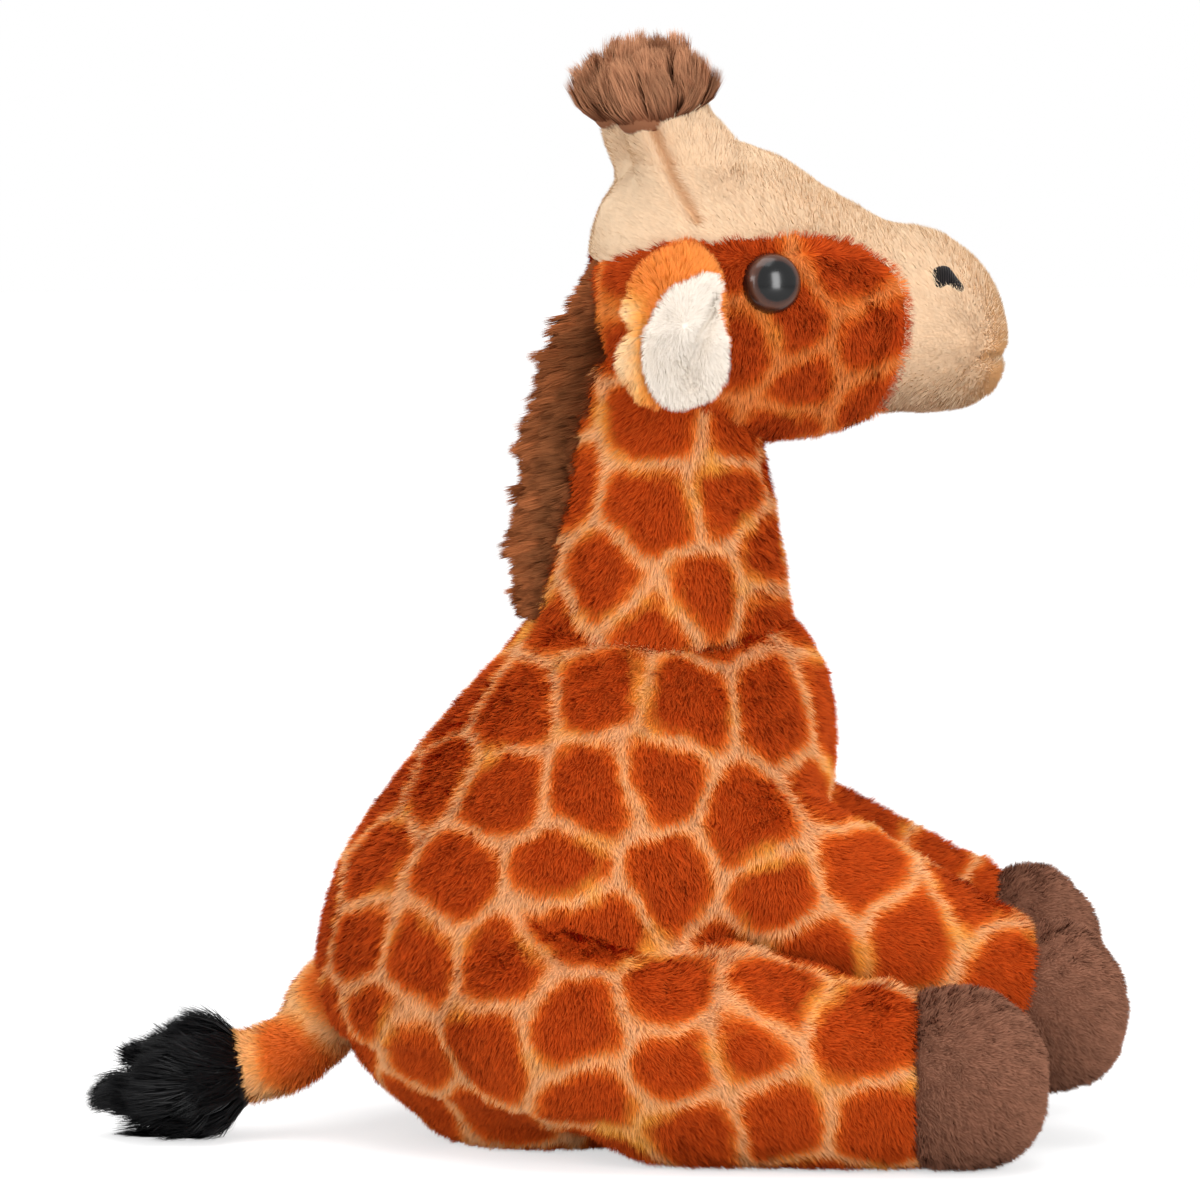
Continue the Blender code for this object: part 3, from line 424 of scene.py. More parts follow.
FLOOR_GAP = 0.45
SOFT_LANDING = 2.0
FORELEG_CHANGES = {"right": (0.0, 0.0), "left": (LEFT_FORELEG_LIFT, LEFT_FORELEG_SHORTER)}


def on_side(place, side):
    """A place or a row of the right or the left piece: y changes sign on the right."""
    return (place[0], side * place[1], *place[2:])


def sided(rows, side):
    return np.array([on_side(row, side) for row in rows], float)


def turned(points, pivot, axis, angle):
    """Points turned about an axis through the pivot, given in millimetres."""
    matrix = np.array(Matrix.Rotation(angle, 3, Vector(axis)))
    centre = np.array(pivot) * MM
    return (points - centre) @ matrix.T + centre


def lifted(points, side, angle):
    """Points of a foreleg or its hoof, turned upwards about the shoulder."""
    return turned(points, on_side(SHOULDER, side), (0, -1, 0), angle)


print("rows for ten kinds of soft form")

# %% [markdown]
# The torso and the four legs are one skin, as the eye sees them, so that a leg flows into the body. Where
# a foreleg lies over a thigh both are made a little slimmer first, so that the joining keeps them apart.

# %% One skin for the torso and the legs
skins = {}
LIMBS = {}
LEANING = {"fore": (38, 48, 96, 106), "hind": (22, 34, 70, 78)}
SLIMMER = {"fore": 1.5, "hind": -1.0}
FORELEG_LENGTH = 72.5


def make_skin(name, points, quads, own=None, normals=None, hem=True):
    """Keeps a finished skin: points, faces, normals, its points before the piece was turned, and how many
    of its faces carry pile, which a hem doesn't."""
    normals = normals_of(points, quads) if normals is None else normals
    grown = len(quads)
    own = points if own is None else own
    if hem:
        rest = len(points)
        points, quads, normals = hemmed(points, quads, normals)
        own = np.vstack([own, points[rest:]])
    skins[name] = {"points": points, "quads": quads, "normals": normals, "own": own, "grown": grown}
    print(name, len(points), "points,", grown, "faces")


def seated(points):
    """Nothing goes lower than the floor gap, and what comes near it flattens out softly."""
    low, soft = FLOOR_GAP * MM, SOFT_LANDING * MM
    above = points[:, 2] - low
    eased = np.where(above > soft, above, np.maximum(above + soft, 0) ** 2 / (4 * soft))
    return np.stack([points[:, 0], points[:, 1], low + eased], 1)


def saddle(points):
    """The torso's upper rim is lower at its sides than at its front and back, as the neck seam is."""
    x, y, z = points.T
    sideways = y / np.hypot((x - NECK_PIVOT[0] * MM) * 0.85 + 1e-9, y)
    share = sideways**2 * smooth_step(z, 112 * MM, 138 * MM)
    return np.stack([x, y, z - 4.0 * MM * share], 1)


def add_limb(name, rows, side, seam, lift=0.0, shorter=0.0):
    """Keeps a leg's tube, its line and its radii. A shorter leg's rows move back by their share of its
    length, and a lifted one is turned about the shoulder."""
    line = sided(rows, side)
    leaning, slimmer = plateau(line[:, 0], *LEANING[name[:4]]), SLIMMER[name[:4]]
    line[:, 2] += slimmer * leaning
    line[:, 3] -= abs(slimmer) * leaning
    line[:, 0] -= shorter * np.clip((line[:, 0] - SHOULDER[0]) / FORELEG_LENGTH, 0, 1)
    grid = tube(line, 60, 40, seam=on_side(seam, side), thinner=UNDER_PILE)
    centres, radii = line[:, :3] * MM, line[:, 3] * MM
    if lift:
        grid = lifted(grid.reshape(-1, 3), side, lift).reshape(grid.shape)
        centres = lifted(centres, side, lift)
    LIMBS[name] = {"grid": grid, "centres": centres, "radii": radii}


for label, side in SIDES.items():
    add_limb(f"hind_leg_{label}", HIND_LEG_ROWS, side, HIND_SEAM)
    add_limb(f"foreleg_{label}", FORELEG_ROWS, side, FORE_SEAM, *FORELEG_CHANGES[label])

torso_tube = tube(TORSO_ROWS, 70, 60, along=(0, 0, 1), thinner=UNDER_PILE)
points, quads = fused([torso_tube] + [limb["grid"] for limb in LIMBS.values()], 2.8)
print("the joined body has", len(points), "points")

# %% [markdown]
# Stuffing rounds a shoulder off, while the haunch keeps a crease where it is sewn to the belly. So each
# place is rubbed smooth by a share of its own, and then moved out or in along its normal by a few formulas.


# %% Creases and hollows of the body
CREASE = np.array(((-22, 67.5), (-2.5, 62.2), (10.6, 57.6), (29, 54.5), (40.8, 50.5), (52, 47.5))) * MM


def rubbing(points):
    """How much each point is rubbed smooth: all round a shoulder, and behind and under a haunch, whose
    upper edge stays a crease."""
    most = np.zeros(len(points))
    for name, limb in LIMBS.items():
        apart, place = distance_to_line(points, limb["centres"])
        end = len(limb["centres"]) - 1
        here = (1 - smooth_step(place, end * 0.4, end * 0.7)) * (1 - smooth_step(apart, 36 * MM, 54 * MM))
        if name.startswith("hind"):
            over = smooth_step(points[:, 0], -26 * MM, 4 * MM) * smooth_step(points[:, 2], 30 * MM, 50 * MM)
            here = here * (1 - 0.85 * over)
        most = np.maximum(most, here)
    return most


def body_swell(points, normals):
    """Millimetres that each point moves out. Thigh and arm swell back where they lie together, the haunch's
    upper edge draws in to a crease, and the underside draws in behind and between the legs."""
    x, y, z = points.T / MM
    out, facing = np.abs(y), normals[:, 2]
    arm_gap = plateau(x, 18, 30, 52, 66)
    over_thigh = plateau(x, 14, 28, 74, 80) * smooth_step(out, 26, 36) * np.clip(facing, 0, 1)
    under_arm = plateau(x, 24, 36, 96, 106) * np.clip(-facing, 0, 1) * smooth_step(z, 16, 26)
    for_thigh = 1.8 + 3.6 * arm_gap - 2 * SLIMMER["hind"] * plateau(x, *LEANING["hind"])
    for_arm = 3.2 + 1.4 * arm_gap + 2 * SLIMMER["fore"] * plateau(x, *LEANING["fore"])
    swell = for_thigh * over_thigh * (z < 62) + for_arm * under_arm * smooth_step(out, 12, 20)
    from_crease = distance_to_line(points[:, [0, 2]], CREASE)[0] / MM
    down, less_down = smooth_step(-facing, -0.1, 0.4), smooth_step(-facing, 0.05, 0.55)
    swell -= 1.8 * bell(from_crease, 1.9) * smooth_step(out, 30, 38) * (1 - smooth_step(x, 16, 28))
    swell -= 2.0 * less_down * smooth_step(-x, -24, 10) * smooth_step(z, 2.0, 6.0) * (z < 40)
    swell -= 2.6 * down * smooth_step(-x, 28, 50) * (z < 30)
    swell -= 1.8 * down * smooth_step(out, 14, 32) * smooth_step(-x, -14, 8) * (z < 14)
    return swell


points = relaxed(points, quads, 2)
points = relaxed(points, quads, 12, rubbing(points), keep_size=False)
points = relaxed(saddle(points), quads, 2)
normals = normals_of(points, quads)
swell = body_swell(points, normals)
print("the body swells by", round(float(swell.min()), 1), "to", round(float(swell.max()), 1), "mm")

# %% [markdown]
# The skin is blown up and then parted into a patch for the torso and one for each leg. A leg's patch has a
# wide apron that reaches onto the torso round the leg's root. Which patch a point belongs to is told
# before the skin swells, while a foreleg and the thigh under it are still well apart.

# %% Parting the body
APRONS = {"hind": 13 * MM, "fore": 9 * MM}


def owners(points):
    """The number of the leg that each point belongs to, or 0 for the torso. Of the legs whose apron reaches
    a point, it belongs to the one whose own radius its distance comes closest to."""
    owner, nearness = np.zeros(len(points), int), np.full(len(points), 1.0)
    for number, (name, limb) in enumerate(LIMBS.items(), 1):
        apart, place = distance_to_line(points, limb["centres"])
        radius = np.interp(place, np.arange(len(limb["radii"])), limb["radii"])
        inside = apart < np.maximum(radius, 18 * MM) + APRONS[name[:4]]
        closer = inside & (np.abs(apart - radius) < nearness)
        owner[closer], nearness[closer] = number, np.abs(apart - radius)[closer]
    return owner


owner = owners(refined(points, quads)[0])
sewn = (points[:, 2] / MM > 132) | (points[:, 2] / MM < 3)
points = points + normals * (swell * MM)[:, None]
for limb in LIMBS.values():
    apart, place = distance_to_line(points, limb["centres"])
    sewn |= (place > len(limb["centres"]) - 1 - 0.12) & (apart < 30 * MM)
points, quads = refined(stuffed(points, quads, sewn, 1.6), quads)
points = seated(points)
normals = normals_of(points, quads)
face_owner = owner[quads].max(1)
for number, name in enumerate(["torso", *LIMBS]):
    some, some_quads, used = part_of(points, quads, face_owner == number)
    make_skin(f"{name}_cover", some, some_quads, normals=normals[used])

# %% [markdown]
# The neck is a skin of its own, because the head turns on it and it leans on the torso. Both of its ends are
# hidden and sewn down.

# %% Neck skin
points, quads = fused([tube(NECK_ROWS, 50, 44, along=(0, 0, 1), thinner=UNDER_PILE)], 2.6)
points = relaxed(points, quads, 3)
points = stuffed(points, quads, (points[:, 2] < 136 * MM) | (points[:, 2] > 200 * MM), 1.0)
points, quads = refined(points, quads)
make_skin("neck_cover", points, quads, hem=False)

# %% [markdown]
# Hooves, tail and ears are simple stuffed forms of their own, sewn on at a seam that draws in a little.


# %% Hooves, tail and ears
def simple_skin(name, grid, cell, rub=2, turn=None, shape=None):
    """A skin round one form, given its last shape and turned into place."""
    own, quads = fused([grid], cell)
    own, quads = refined(relaxed(own, quads, rub), quads)
    own = own if shape is None else shape(own, normals_of(own, quads))
    points = own if turn is None else turn(own)
    make_skin(name, points, quads, own, hem=False)


for label, side in SIDES.items():
    lift, shorter = FORELEG_CHANGES[label]
    rows = {"hind": sided(HIND_HOOF_ROWS, side), "fore": sided(FORE_HOOF_ROWS, side) - [shorter, 0, 0, 0, 0]}
    turns = {"hind": seated, "fore": lambda points, side=side, lift=lift: lifted(points, side, lift)}
    for kind, turn in turns.items():
        simple_skin(f"{kind}_hoof_{label}_cover", tube(rows[kind], 44, 40, thinner=1.0), 2.2, turn=turn)


def bent(own, normals):
    """The tail's bend: its upper side draws in where the tail turns level."""
    apart = np.hypot(own[:, 0] / MM + 84.0, own[:, 2] / MM - 34.0)
    return own - normals * (2.4 * bell(apart, 5) * MM)[:, None]


simple_skin("tail_cover", tube(TAIL_ROWS, 44, 28, thinner=0.5), 1.8, shape=bent)

# %% [markdown]
# An ear is a flat leaf of plush with a white lining. It is cupped along its length, and the lining has a
# soft fold. The near ear hangs, and the far one is the same leaf raised about its root.


# %% Ears
def with_head(points):
    """Into the row frame from the head's own frame, in which the head looks straight ahead."""
    return turned(points, HEAD_PIVOT, (0, 0, 1), HEAD_TURN)


def ear_turn(side, lift):
    """The function that raises a leaf about the ear's root and turns it with the head."""
    axis = (side * math.cos(EAR_SKEW), -math.sin(EAR_SKEW), 0.0)
    return lambda points: with_head(turned(points, on_side(EAR_ROOT, side), axis, lift))


EAR_CUP = 1.6
EAR_HALF_WIDTH = 14.0


def cupped(rows, side):
    """A leaf bent along its length: y = the cup's depth * (distance from the middle / half width)²."""
    grid = tube(rows, 44, 40)
    middle = grid.mean(1, keepdims=True)
    away = np.linalg.norm((grid - middle)[..., [0, 2]], axis=-1) / (EAR_HALF_WIDTH * MM)
    grid[..., 1] += side * EAR_CUP * MM * away**2
    return grid


EAR_CREASE = np.array(((23.5, 225.5), (18.6, 219.0), (15.6, 212.0), (15.4, 207.0))) * MM


def wavy(own, normals):
    """The leaf's rear edge, drawn in where the real one folds: its points move forward near one height."""
    x, _, z = own.T / MM
    step = (1 - smooth_step(x, 0, 7)) * (2.6 * bell(z - 219.5, 2.6) - 1.2 * bell(z - 210, 4))
    return own + np.stack([step, step * 0, step * 0], 1) * MM


def creased(own, normals):
    """The lining's fold: a soft groove down from its upper corner, and a lobe that swells behind it."""
    apart = distance_to_line(own[:, [0, 2]], EAR_CREASE)[0] / MM
    lobe = bell(np.hypot((own[:, 0] / MM - 13.5) / 4, (own[:, 2] / MM - 221) / 6), 1)
    return own + normals * ((1.0 * lobe - 2.1 * bell(apart, 2.3)) * MM)[:, None]


# The raised leaf stands further forward, and is narrower, by these amounts for the leaf and for its lining.
LEFT_EAR = ((4.0, 0.86), (3.5, 0.8))
for label, side in SIDES.items():
    place = ear_turn(side, LEFT_EAR_LIFT if label == "left" else 0.0)
    leaves = [sided(EAR_ROWS, side), sided(LINING_ROWS, side)]
    if label == "left":
        leaves = [
            rows * [1, 1, 1, narrower, 1] + [forward, 0, 0, 0, 0]
            for rows, (forward, narrower) in zip(leaves, LEFT_EAR)
        ]
    simple_skin(f"ear_{label}_cover", cupped(leaves[0], side), 1.3, turn=place, shape=wavy)
    simple_skin(f"ear_lining_{label}_cover", cupped(leaves[1], side), 1.0, turn=place, shape=creased)
    skin = skins[f"ear_{label}_cover"]
    x, _, z = skin["own"].T / MM
    upper = smooth_step(z, 221, 230) * smooth_step(x, -1, 4)
    skin["spot"] = 10 * np.maximum(smooth_step(x, -1, 9), upper)

# %% [markdown]
# The head is a skin round the skull and both horns together. A seam parts the spotted cheeks from the
# pale face, and the skin draws in along it.

# %% Head skin
FACE_SEAM = np.array((
    (-14, 228.6), (-3, 232.5), (5, 236.5), (14, 240.2), (31, 240.6), (49, 241.7), (60, 240.2), (68, 237.8),
    (74.5, 233.5), (78.4, 228.6), (79.8, 221), (79.5, 213), (77.4, 205), (75.5, 198), (73.5, 182),
)) * MM
FACE_OUTLINE = np.vstack([FACE_SEAM, np.array(((126, 182), (126, 310), (-14, 310))) * MM])
HORN_CUT = 260.0
HORN_GAP = 2.5
HORN_SEAM = np.array((
    (9.6, 24.8, 271.0), (12.2, 25.2, 264.5), (15.8, 25.4, 257.5), (19.4, 26.4, 251.0), (22.2, 27.8, 246.4),
)) * MM
HORN_SEAM_HALF_WIDTH = 0.7
MOUTH = (104.0, 208.6)
EYE = (40.3, 31.4, 230.0)
EYE_TILT = math.radians(8.0)
EYE_RADIUS = 7.9


def inside_outline(across, up, outline):
    """Whether each place lies inside the outline: a level line from it crosses the outline an odd number
    of times."""
    odd = np.zeros(len(across), bool)
    for (x0, z0), (x1, z1) in zip(outline, np.roll(outline, -1, axis=0)):
        crosses = (z0 > up) != (z1 > up)
        slope = (x1 - x0) / (z1 - z0 if z1 != z0 else 1e-12)
        odd ^= crosses & (across < x0 + (up - z0) * slope)
    return odd


forms = [tube(HEAD_ROWS, 80, 56, along=(1, 0, 0), thinner=UNDER_PILE)]
forms += [tube(sided(HORN_ROWS, side), 40, 40, thinner=0.5) for side in SIDES.values()]
points, quads = fused(forms, 2.4)
crown = plateau(points[:, 2], 246 * MM, 256 * MM, 268 * MM, 273 * MM)
points = relaxed(points, quads, 2)
points = relaxed(points, quads, 5, crown, keep_size=False)
points = stuffed(points, quads, points[:, 2] > 271 * MM, 1.0)
own, quads = refined(points, quads)
normals = normals_of(own, quads)
one_sided = np.stack([own[:, 0], np.abs(own[:, 1]), own[:, 2]], 1)
from_seam = distance_to_line(own[:, [0, 2]], FACE_SEAM)[0] / MM
from_horn_seam = np.maximum(distance_to_line(one_sided, HORN_SEAM)[0] / MM - HORN_SEAM_HALF_WIDTH, 0)
from_mouth = np.hypot((own[:, 2] / MM - MOUTH[1]) / 1.6, np.maximum(MOUTH[0] - own[:, 0] / MM, 0) / 2.5)
from_eye = np.linalg.norm(one_sided - np.array(EYE) * MM, axis=1) / MM
sink = 0.9 * bell(from_seam, 1.6) + 1.6 * bell(from_mouth, 1)
sink = sink + 1.0 * bell(from_eye, 9, 4) + 1.5 * bell(from_horn_seam, 1.4)
own = own - normals * (sink * MM)[:, None]
normals = normals_of(own, quads)
print("the head draws in by up to", round(float(sink.max()), 1), "mm")

# %% [markdown]
# The head's skin is parted where its panels are sewn together: the spotted cheeks and back, the pale face,
# and the two horns.

# %% Parting the head
middles = own[quads].mean(1)
in_face = inside_outline(middles[:, 0], middles[:, 2], FACE_OUTLINE)
in_horn = in_face & (middles[:, 2] > HORN_CUT * MM) & (np.abs(middles[:, 1]) > HORN_GAP * MM)
wanted = {
    "head_cover": ~in_face,
    "face_cover": in_face & ~in_horn,
    "horn_right_cover": in_horn & (middles[:, 1] < 0),
    "horn_left_cover": in_horn & (middles[:, 1] > 0),
}
turned_normals = turned(normals, (0, 0, 0), (0, 0, 1), HEAD_TURN)
for name, faces in wanted.items():
    some, some_quads, used = part_of(own, quads, faces)
    make_skin(name, with_head(some), some_quads, some, turned_normals[used])
    hems = len(skins[name]["points"]) - len(some)
    skins[name]["seam"] = np.concatenate([from_horn_seam[used], np.full(hems, 9.0)])
    if name != "head_cover":
        skins[name]["spot"] = skins[name]["seam"]
print("the head has", int(in_face.sum()), "pale faces of", len(quads))

# %% [markdown]
# The spots. Real printed plush has a net of pale lines round spots that are set out by hand. Each spot's
# middle is given as the camera sees it, in millimetres right of and above the middle of the picture. The
# line through it meets the toy at the nearest skin. The rest of the toy is filled with spots that keep
# their distance from each other.

# %% Where the spots are
TORSO_SPOTS = (
    (-24, -28.5), (0, -21.5), (24, -25.5), (48.5, -28.5), (-44, -46), (-27.5, -48.5), (-2.3, -49),
    (18, -45.5), (40, -56), (-39.5, -72.5), (-10, -70.8), (20, -74), (47, -80), (-61, -68), (-65, -90),
    (-50, -92.5), (-27, -94), (-61.5, -110), (-58, -52), (-38, -27),
)
CHEST_SPOTS = ((58.0, 8.0, 98.0), (60.0, -12.0, 116.0), (55.0, -30.0, 92.0))
FLAT_SPOTS = (((-9, -85.5), (2, -88)),)
HAUNCH_SPOTS = (
    (18.5, -103.5), (-5, -112), (-31.5, -120.5), (-53.5, -120), (20.5, -124.5), (39, -118), (68, -115),
    (-2.5, -134), (-27, -139), (-48, -135), (46.5, -141), (24.5, -143.5), (73, -140.5), (45, -105),
)
FORELEG_SPOTS = ((53.5, -95), (70.5, -72), (85, -88.5), (100, -80), (108.5, -95))
FAR_FORELEG_SPOTS = ((72.5, -56.5), (92, -66), (106.5, -75))
NECK_SPOTS = (
    (15, 46.5), (12.5, 26), (36.5, 28.5), (-2, 5.5), (31, 2), (45, 14.5), (14, -9), (-9, 31), (-13, -8),
    (46, -5), (-8, 53), (38, 48),
)
HEAD_SPOTS = (
    (37, 92), (54.5, 75), (75, 71), (67.5, 89.5), (38.5, 66.5), (54.5, 56.5), (76, 54.5), (48.5, 46),
    (14, 84), (10, 62),
)
TAIL_SPOTS = ((-80, -121.5), (-70, -103))
SPOT_SPACING = 24.0
eye_point = np.array(camera.location)


def seen_at(points):
    """Each point's place in the picture, right and up in metres at the middle's distance, and its depth."""
    rays = points - eye_point
    depth = -rays @ np.array(to_camera)
    flat = rays @ np.stack([camera_right, camera_up], 1)
    return flat / depth[:, None] * CAMERA_DISTANCE, depth


def set_spots(names, places, given=(), pairs=()):
    """The middles of one group's spots on its skins, and each one's number. The two middles of a pair
    share a number, which makes one long spot."""
    cloud = np.vstack([skins[name]["points"] for name in names])
    seen, depth = seen_at(cloud)
    middles, marks = [], []
    for place in [*places, *(one for pair in pairs for one in pair)]:
        apart = np.linalg.norm(seen - np.array(place) * MM, axis=1)
        middles.append(cloud[np.argmin(np.where(apart < 2.2 * MM, depth, 1e6) + apart * 0.05)])
        number = len(marks)
        marks.append(number if number < len(places) else len(places) + (number - len(places)) // 2)
    for place in given:
        middles.append(cloud[np.linalg.norm(cloud - np.array(place) * MM, axis=1).argmin()])
        marks.append(max(marks) + 1)
    by_hand = len(middles)
    free = cloud[np.random.default_rng(31).permutation(len(cloud))[::5]]
    from_given = np.linalg.norm(free[:, None] - np.array(middles)[None], axis=2).min(1)
    free = free[from_given > SPOT_SPACING * 0.9 * MM]
    while len(free):
        middles.append(free[0])
        marks.append(max(marks) + 1)
        free = free[np.linalg.norm(free - free[0], axis=1) > SPOT_SPACING * MM]
    print(names[0], "and its group:", by_hand, "spots by hand,", len(middles) - by_hand, "filled in")
    return np.array(middles), np.array(marks)


# %% [markdown]
# A point belongs to the nearest spot. Half of the difference between its distances to the nearest and to
# the next spot says how far it is from the pale line between them. Adding up all the other spots softly
# rounds the corners, as on the real print.


# %% How deep in a spot a point is
SOFTNESS = 0.9
BATCH = 4000


def depth_in_spot(points, spots, marks):
    """Distance in millimetres from the middle of the pale lines, 0 on a line: minus softness times the
    logarithm of the sum of exp(-gap / softness), where a gap is half of how much further off a spot is."""
    waved = points + soft_noise(points, 16 * MM, 5, 3) * 0.9 * MM
    waved = waved + soft_noise(points, 5 * MM, 6, 3) * 0.25 * MM
    found = np.zeros(len(points))
    for start in range(0, len(points), BATCH):
        some = waved[start:start + BATCH]
        apart = np.linalg.norm(some[:, None] - spots[None], axis=2) / MM
        nearest = apart.argmin(1)
        first = apart[np.arange(len(some)), nearest]
        gap = (apart - first[:, None]) / 2
        gap[marks[None] == marks[nearest][:, None]] = 1e3
        found[start:start + BATCH] = -SOFTNESS * np.log(np.exp(-gap / SOFTNESS).sum(1))
    return found


BODY_COVERS = ["torso_cover", *(f"{name}_cover" for name in LIMBS)]
BODY_SPOTS = (*TORSO_SPOTS, *HAUNCH_SPOTS, *FORELEG_SPOTS, *FAR_FORELEG_SPOTS)
GROUPS = (
    (BODY_COVERS, BODY_SPOTS, CHEST_SPOTS, FLAT_SPOTS),
    (["neck_cover"], NECK_SPOTS, (), ()),
    (["head_cover"], HEAD_SPOTS, (), ()),
    (["tail_cover"], TAIL_SPOTS, (), ()),
)
for names, *rest in GROUPS:
    middles, marks = set_spots(names, *rest)
    for name in names:
        skins[name]["spot"] = depth_in_spot(skins[name]["points"], middles, marks)
skins["tail_cover"]["spot"] *= smooth_step(skins["tail_cover"]["own"][:, 0] / MM, -97, -88)

# %% [markdown]
# Materials. Plush is lit by its pile: strands are dark at the root, where little light comes, and paler at
# the tip. Three numbers ride on each strand: how deep in a spot its root is, how far along the strand a
# point is, and a number of its own. A node group turns them into a shade for any base colour. Two helpers
# put nodes into a tree and fill their sockets, so that each material reads as a list of what feeds what.


# %% Helpers for shader nodes
def srgb(red, green, blue):
    """A colour given as 0 to 255 on screen, as Blender keeps it."""
    values = np.array([red, green, blue]) / 255
    linear = np.where(values <= 0.04045, values / 12.92, ((values + 0.055) / 1.055) ** 2.4)
    return (*linear.tolist(), 1.0)


def fill(node, sockets):
    """Each named socket takes a plain value, or the output of another node, which is linked to it."""
    for socket, value in sockets.items():
        if isinstance(value, bpy.types.NodeSocket):
            node.id_data.links.new(value, node.inputs[socket])
        else:
            node.inputs[socket].default_value = value


def node_maker(tree):
    """The function that puts a node of one kind into the tree, with its settings and its sockets."""

    def put(kind, sockets=(), **settings):
        node = tree.nodes.new(f"ShaderNode{kind}")
        for key, value in settings.items():
            setattr(node, key, value)
        fill(node, dict(sockets))
        return node

    return put


def times(put, one, other):
    return put("Math", {0: one, 1: other}, operation="MULTIPLY").outputs[0]


def mixed(put, share, one, other):
    return put("Mix", {"Factor": share, "A": one, "B": other}, data_type="RGBA").outputs["Result"]


def colour_ramp(put, value, stops):
    """The colour that belongs to a value from 0 to 1, by (place, colour) stops."""
    ramp = put("ValToRGB", {0: value})
    held = ramp.color_ramp.elements
    for number, (place, colour) in enumerate(stops):
        stop = held[number] if number < 2 else held.new(place)
        stop.position, stop.color = place, srgb(*colour)
    return ramp.outputs["Color"]


def strand_numbers(put):
    """Red is how deep in a spot a strand stands, Green the place along it, and Blue its own number."""
    strand = put("Attribute", attribute_name="pile")
    return put("SeparateColor", {"Color": strand.outputs["Color"]}).outputs


def object_place(put):
    return put("TexCoord").outputs["Object"]


def new_surface(name, **values):
    """A new material, its node maker and its Principled surface, matt unless values says otherwise."""
    material = bpy.data.materials.new(name)
    material.use_nodes = True
    surface = material.node_tree.nodes["Principled BSDF"]
    values = {"Roughness": 0.85, "Specular_IOR_Level": 0.06, "Sheen_Roughness": 0.4, **values}
    fill(surface, {socket.replace("_", " "): value for socket, value in values.items()})
    return material, node_maker(material.node_tree), surface


def make_shade_group():
    """Colour out = colour in, mixed with the tip colour along the strand, darker at the root, and a little
    lighter or darker for each strand. The darker root is painted shade between the strands, and the paler
    tip is partly painted light."""
    group = bpy.data.node_groups.new("Pile shade", "ShaderNodeTree")
    colours, numbers = ("Colour", "Tip Colour"), ("Tip Share", "Root Dark", "Variety")
    for name in (*colours, *numbers):
        kind = "NodeSocketColor" if name in colours else "NodeSocketFloat"
        group.interface.new_socket(name, in_out="INPUT", socket_type=kind)
    group.interface.new_socket("Colour", in_out="OUTPUT", socket_type="NodeSocketColor")
    put = node_maker(group)
    given, result = group.nodes.new("NodeGroupInput").outputs, group.nodes.new("NodeGroupOutput")
    strand = strand_numbers(put)
    colour = mixed(put, times(put, strand["Green"], given["Tip Share"]), given["Colour"], given["Tip Colour"])
    # Painted shade: a strand darkens towards its root, where its neighbours keep the light off.
    lighter = {"From Max": 0.7, "To Min": given["Root Dark"], "To Max": 1.0}
    root = put("MapRange", {"Value": strand["Green"], **lighter})
    low, high = (
        put("Math", {0: 1.0, 1: given["Variety"]}, operation=way).outputs[0] for way in ("SUBTRACT", "ADD")
    )
    vary = put("MapRange", {"Value": strand["Blue"], "To Min": low, "To Max": high})
    light = times(put, root.outputs[0], vary.outputs[0])
    fill(result, {"Colour": put("VectorMath", {0: colour, "Scale": light}, operation="SCALE").outputs[0]})
    return group


shade_group = make_shade_group()
print("the pile's shade has", len(shade_group.nodes), "nodes")

# %% [markdown]
# Each kind of pile has its own colours. The spots run from the pale line's colour to the deep rust in their
# middle, so those materials have stops, and warmer patches lie here and there along the lines.


# %% Kinds of pile
def pile_material(name, colours, tip, tip_share, root, variety, patch=None, **values):
    """A material for pile. colours is one colour, or stops by how deep in a spot a strand stands. patch is a
    second colour that wide soft noise brings in, and among stops it shows on the pale lines only."""
    material, put, surface = new_surface(name, **values)
    cloudy = put("TexNoise", {"Scale": 55.0, "Detail": 3.0, "Vector": object_place(put)}).outputs[0]
    if isinstance(colours[0], tuple):
        depth = strand_numbers(put)["Red"]
        base = colour_ramp(put, depth, colours)
        if patch:
            here = put("MapRange", {"Value": cloudy, "From Min": 0.53, "From Max": 0.72}).outputs[0]
            fading = {"From Min": 0.20, "From Max": 0.42, "To Min": 0.75, "To Max": 0.0}
            on_line = put("MapRange", {"Value": depth, **fading}).outputs[0]
            base = mixed(put, times(put, here, on_line), base, srgb(*patch))
    else:
        base = mixed(put, cloudy, srgb(*colours), srgb(*(patch or colours)))
    shares = {"Tip Share": tip_share, "Root Dark": root, "Variety": variety}
    shade = put("Group", {"Colour": base, "Tip Colour": srgb(*tip), **shares}, node_tree=shade_group)
    fill(surface, {"Base Color": shade.outputs["Colour"]})
    return material


# Places along a ramp are tenths of the ten millimetres into a spot, from 0 on the pale line.
SPOT_STOPS = (
    (0.0, (246, 184, 130)), (0.08, (245, 168, 102)), (0.16, (236, 122, 44)), (0.25, (208, 76, 10)),
    (0.44, (184, 54, 1)),
)
CHEEK_STOPS = (
    (0.0, (236, 140, 74)), (0.1, (230, 122, 50)), (0.2, (212, 86, 18)), (0.3, (192, 60, 5)),
    (0.46, (176, 48, 1)),
)
TAIL_STOPS = (
    (0.0, (252, 196, 136)), (0.14, (250, 178, 108)), (0.3, (240, 134, 52)), (0.45, (228, 100, 18)),
    (0.7, (214, 82, 6)),
)
EAR_STOPS = (
    (0.0, (255, 224, 180)), (0.3, (255, 198, 124)), (0.6, (252, 164, 62)), (0.8, (246, 142, 38)),
    (1.0, (240, 126, 28)),
)
# The mane is near black at the nape and light brown at its edge: its own dark base, plus painted shade there.
MANE_STOPS = (
    (0.0, (42, 14, 4)), (0.2, (80, 30, 9)), (0.5, (118, 52, 20)), (0.8, (146, 74, 36)),
    (1.0, (160, 88, 48)),
)
FACE_STOPS = (
    (0.0, (200, 146, 100)), (0.08, (220, 172, 128)), (0.18, (240, 208, 172)), (0.5, (243, 214, 179)),
    (1.0, (243, 213, 178)),
)
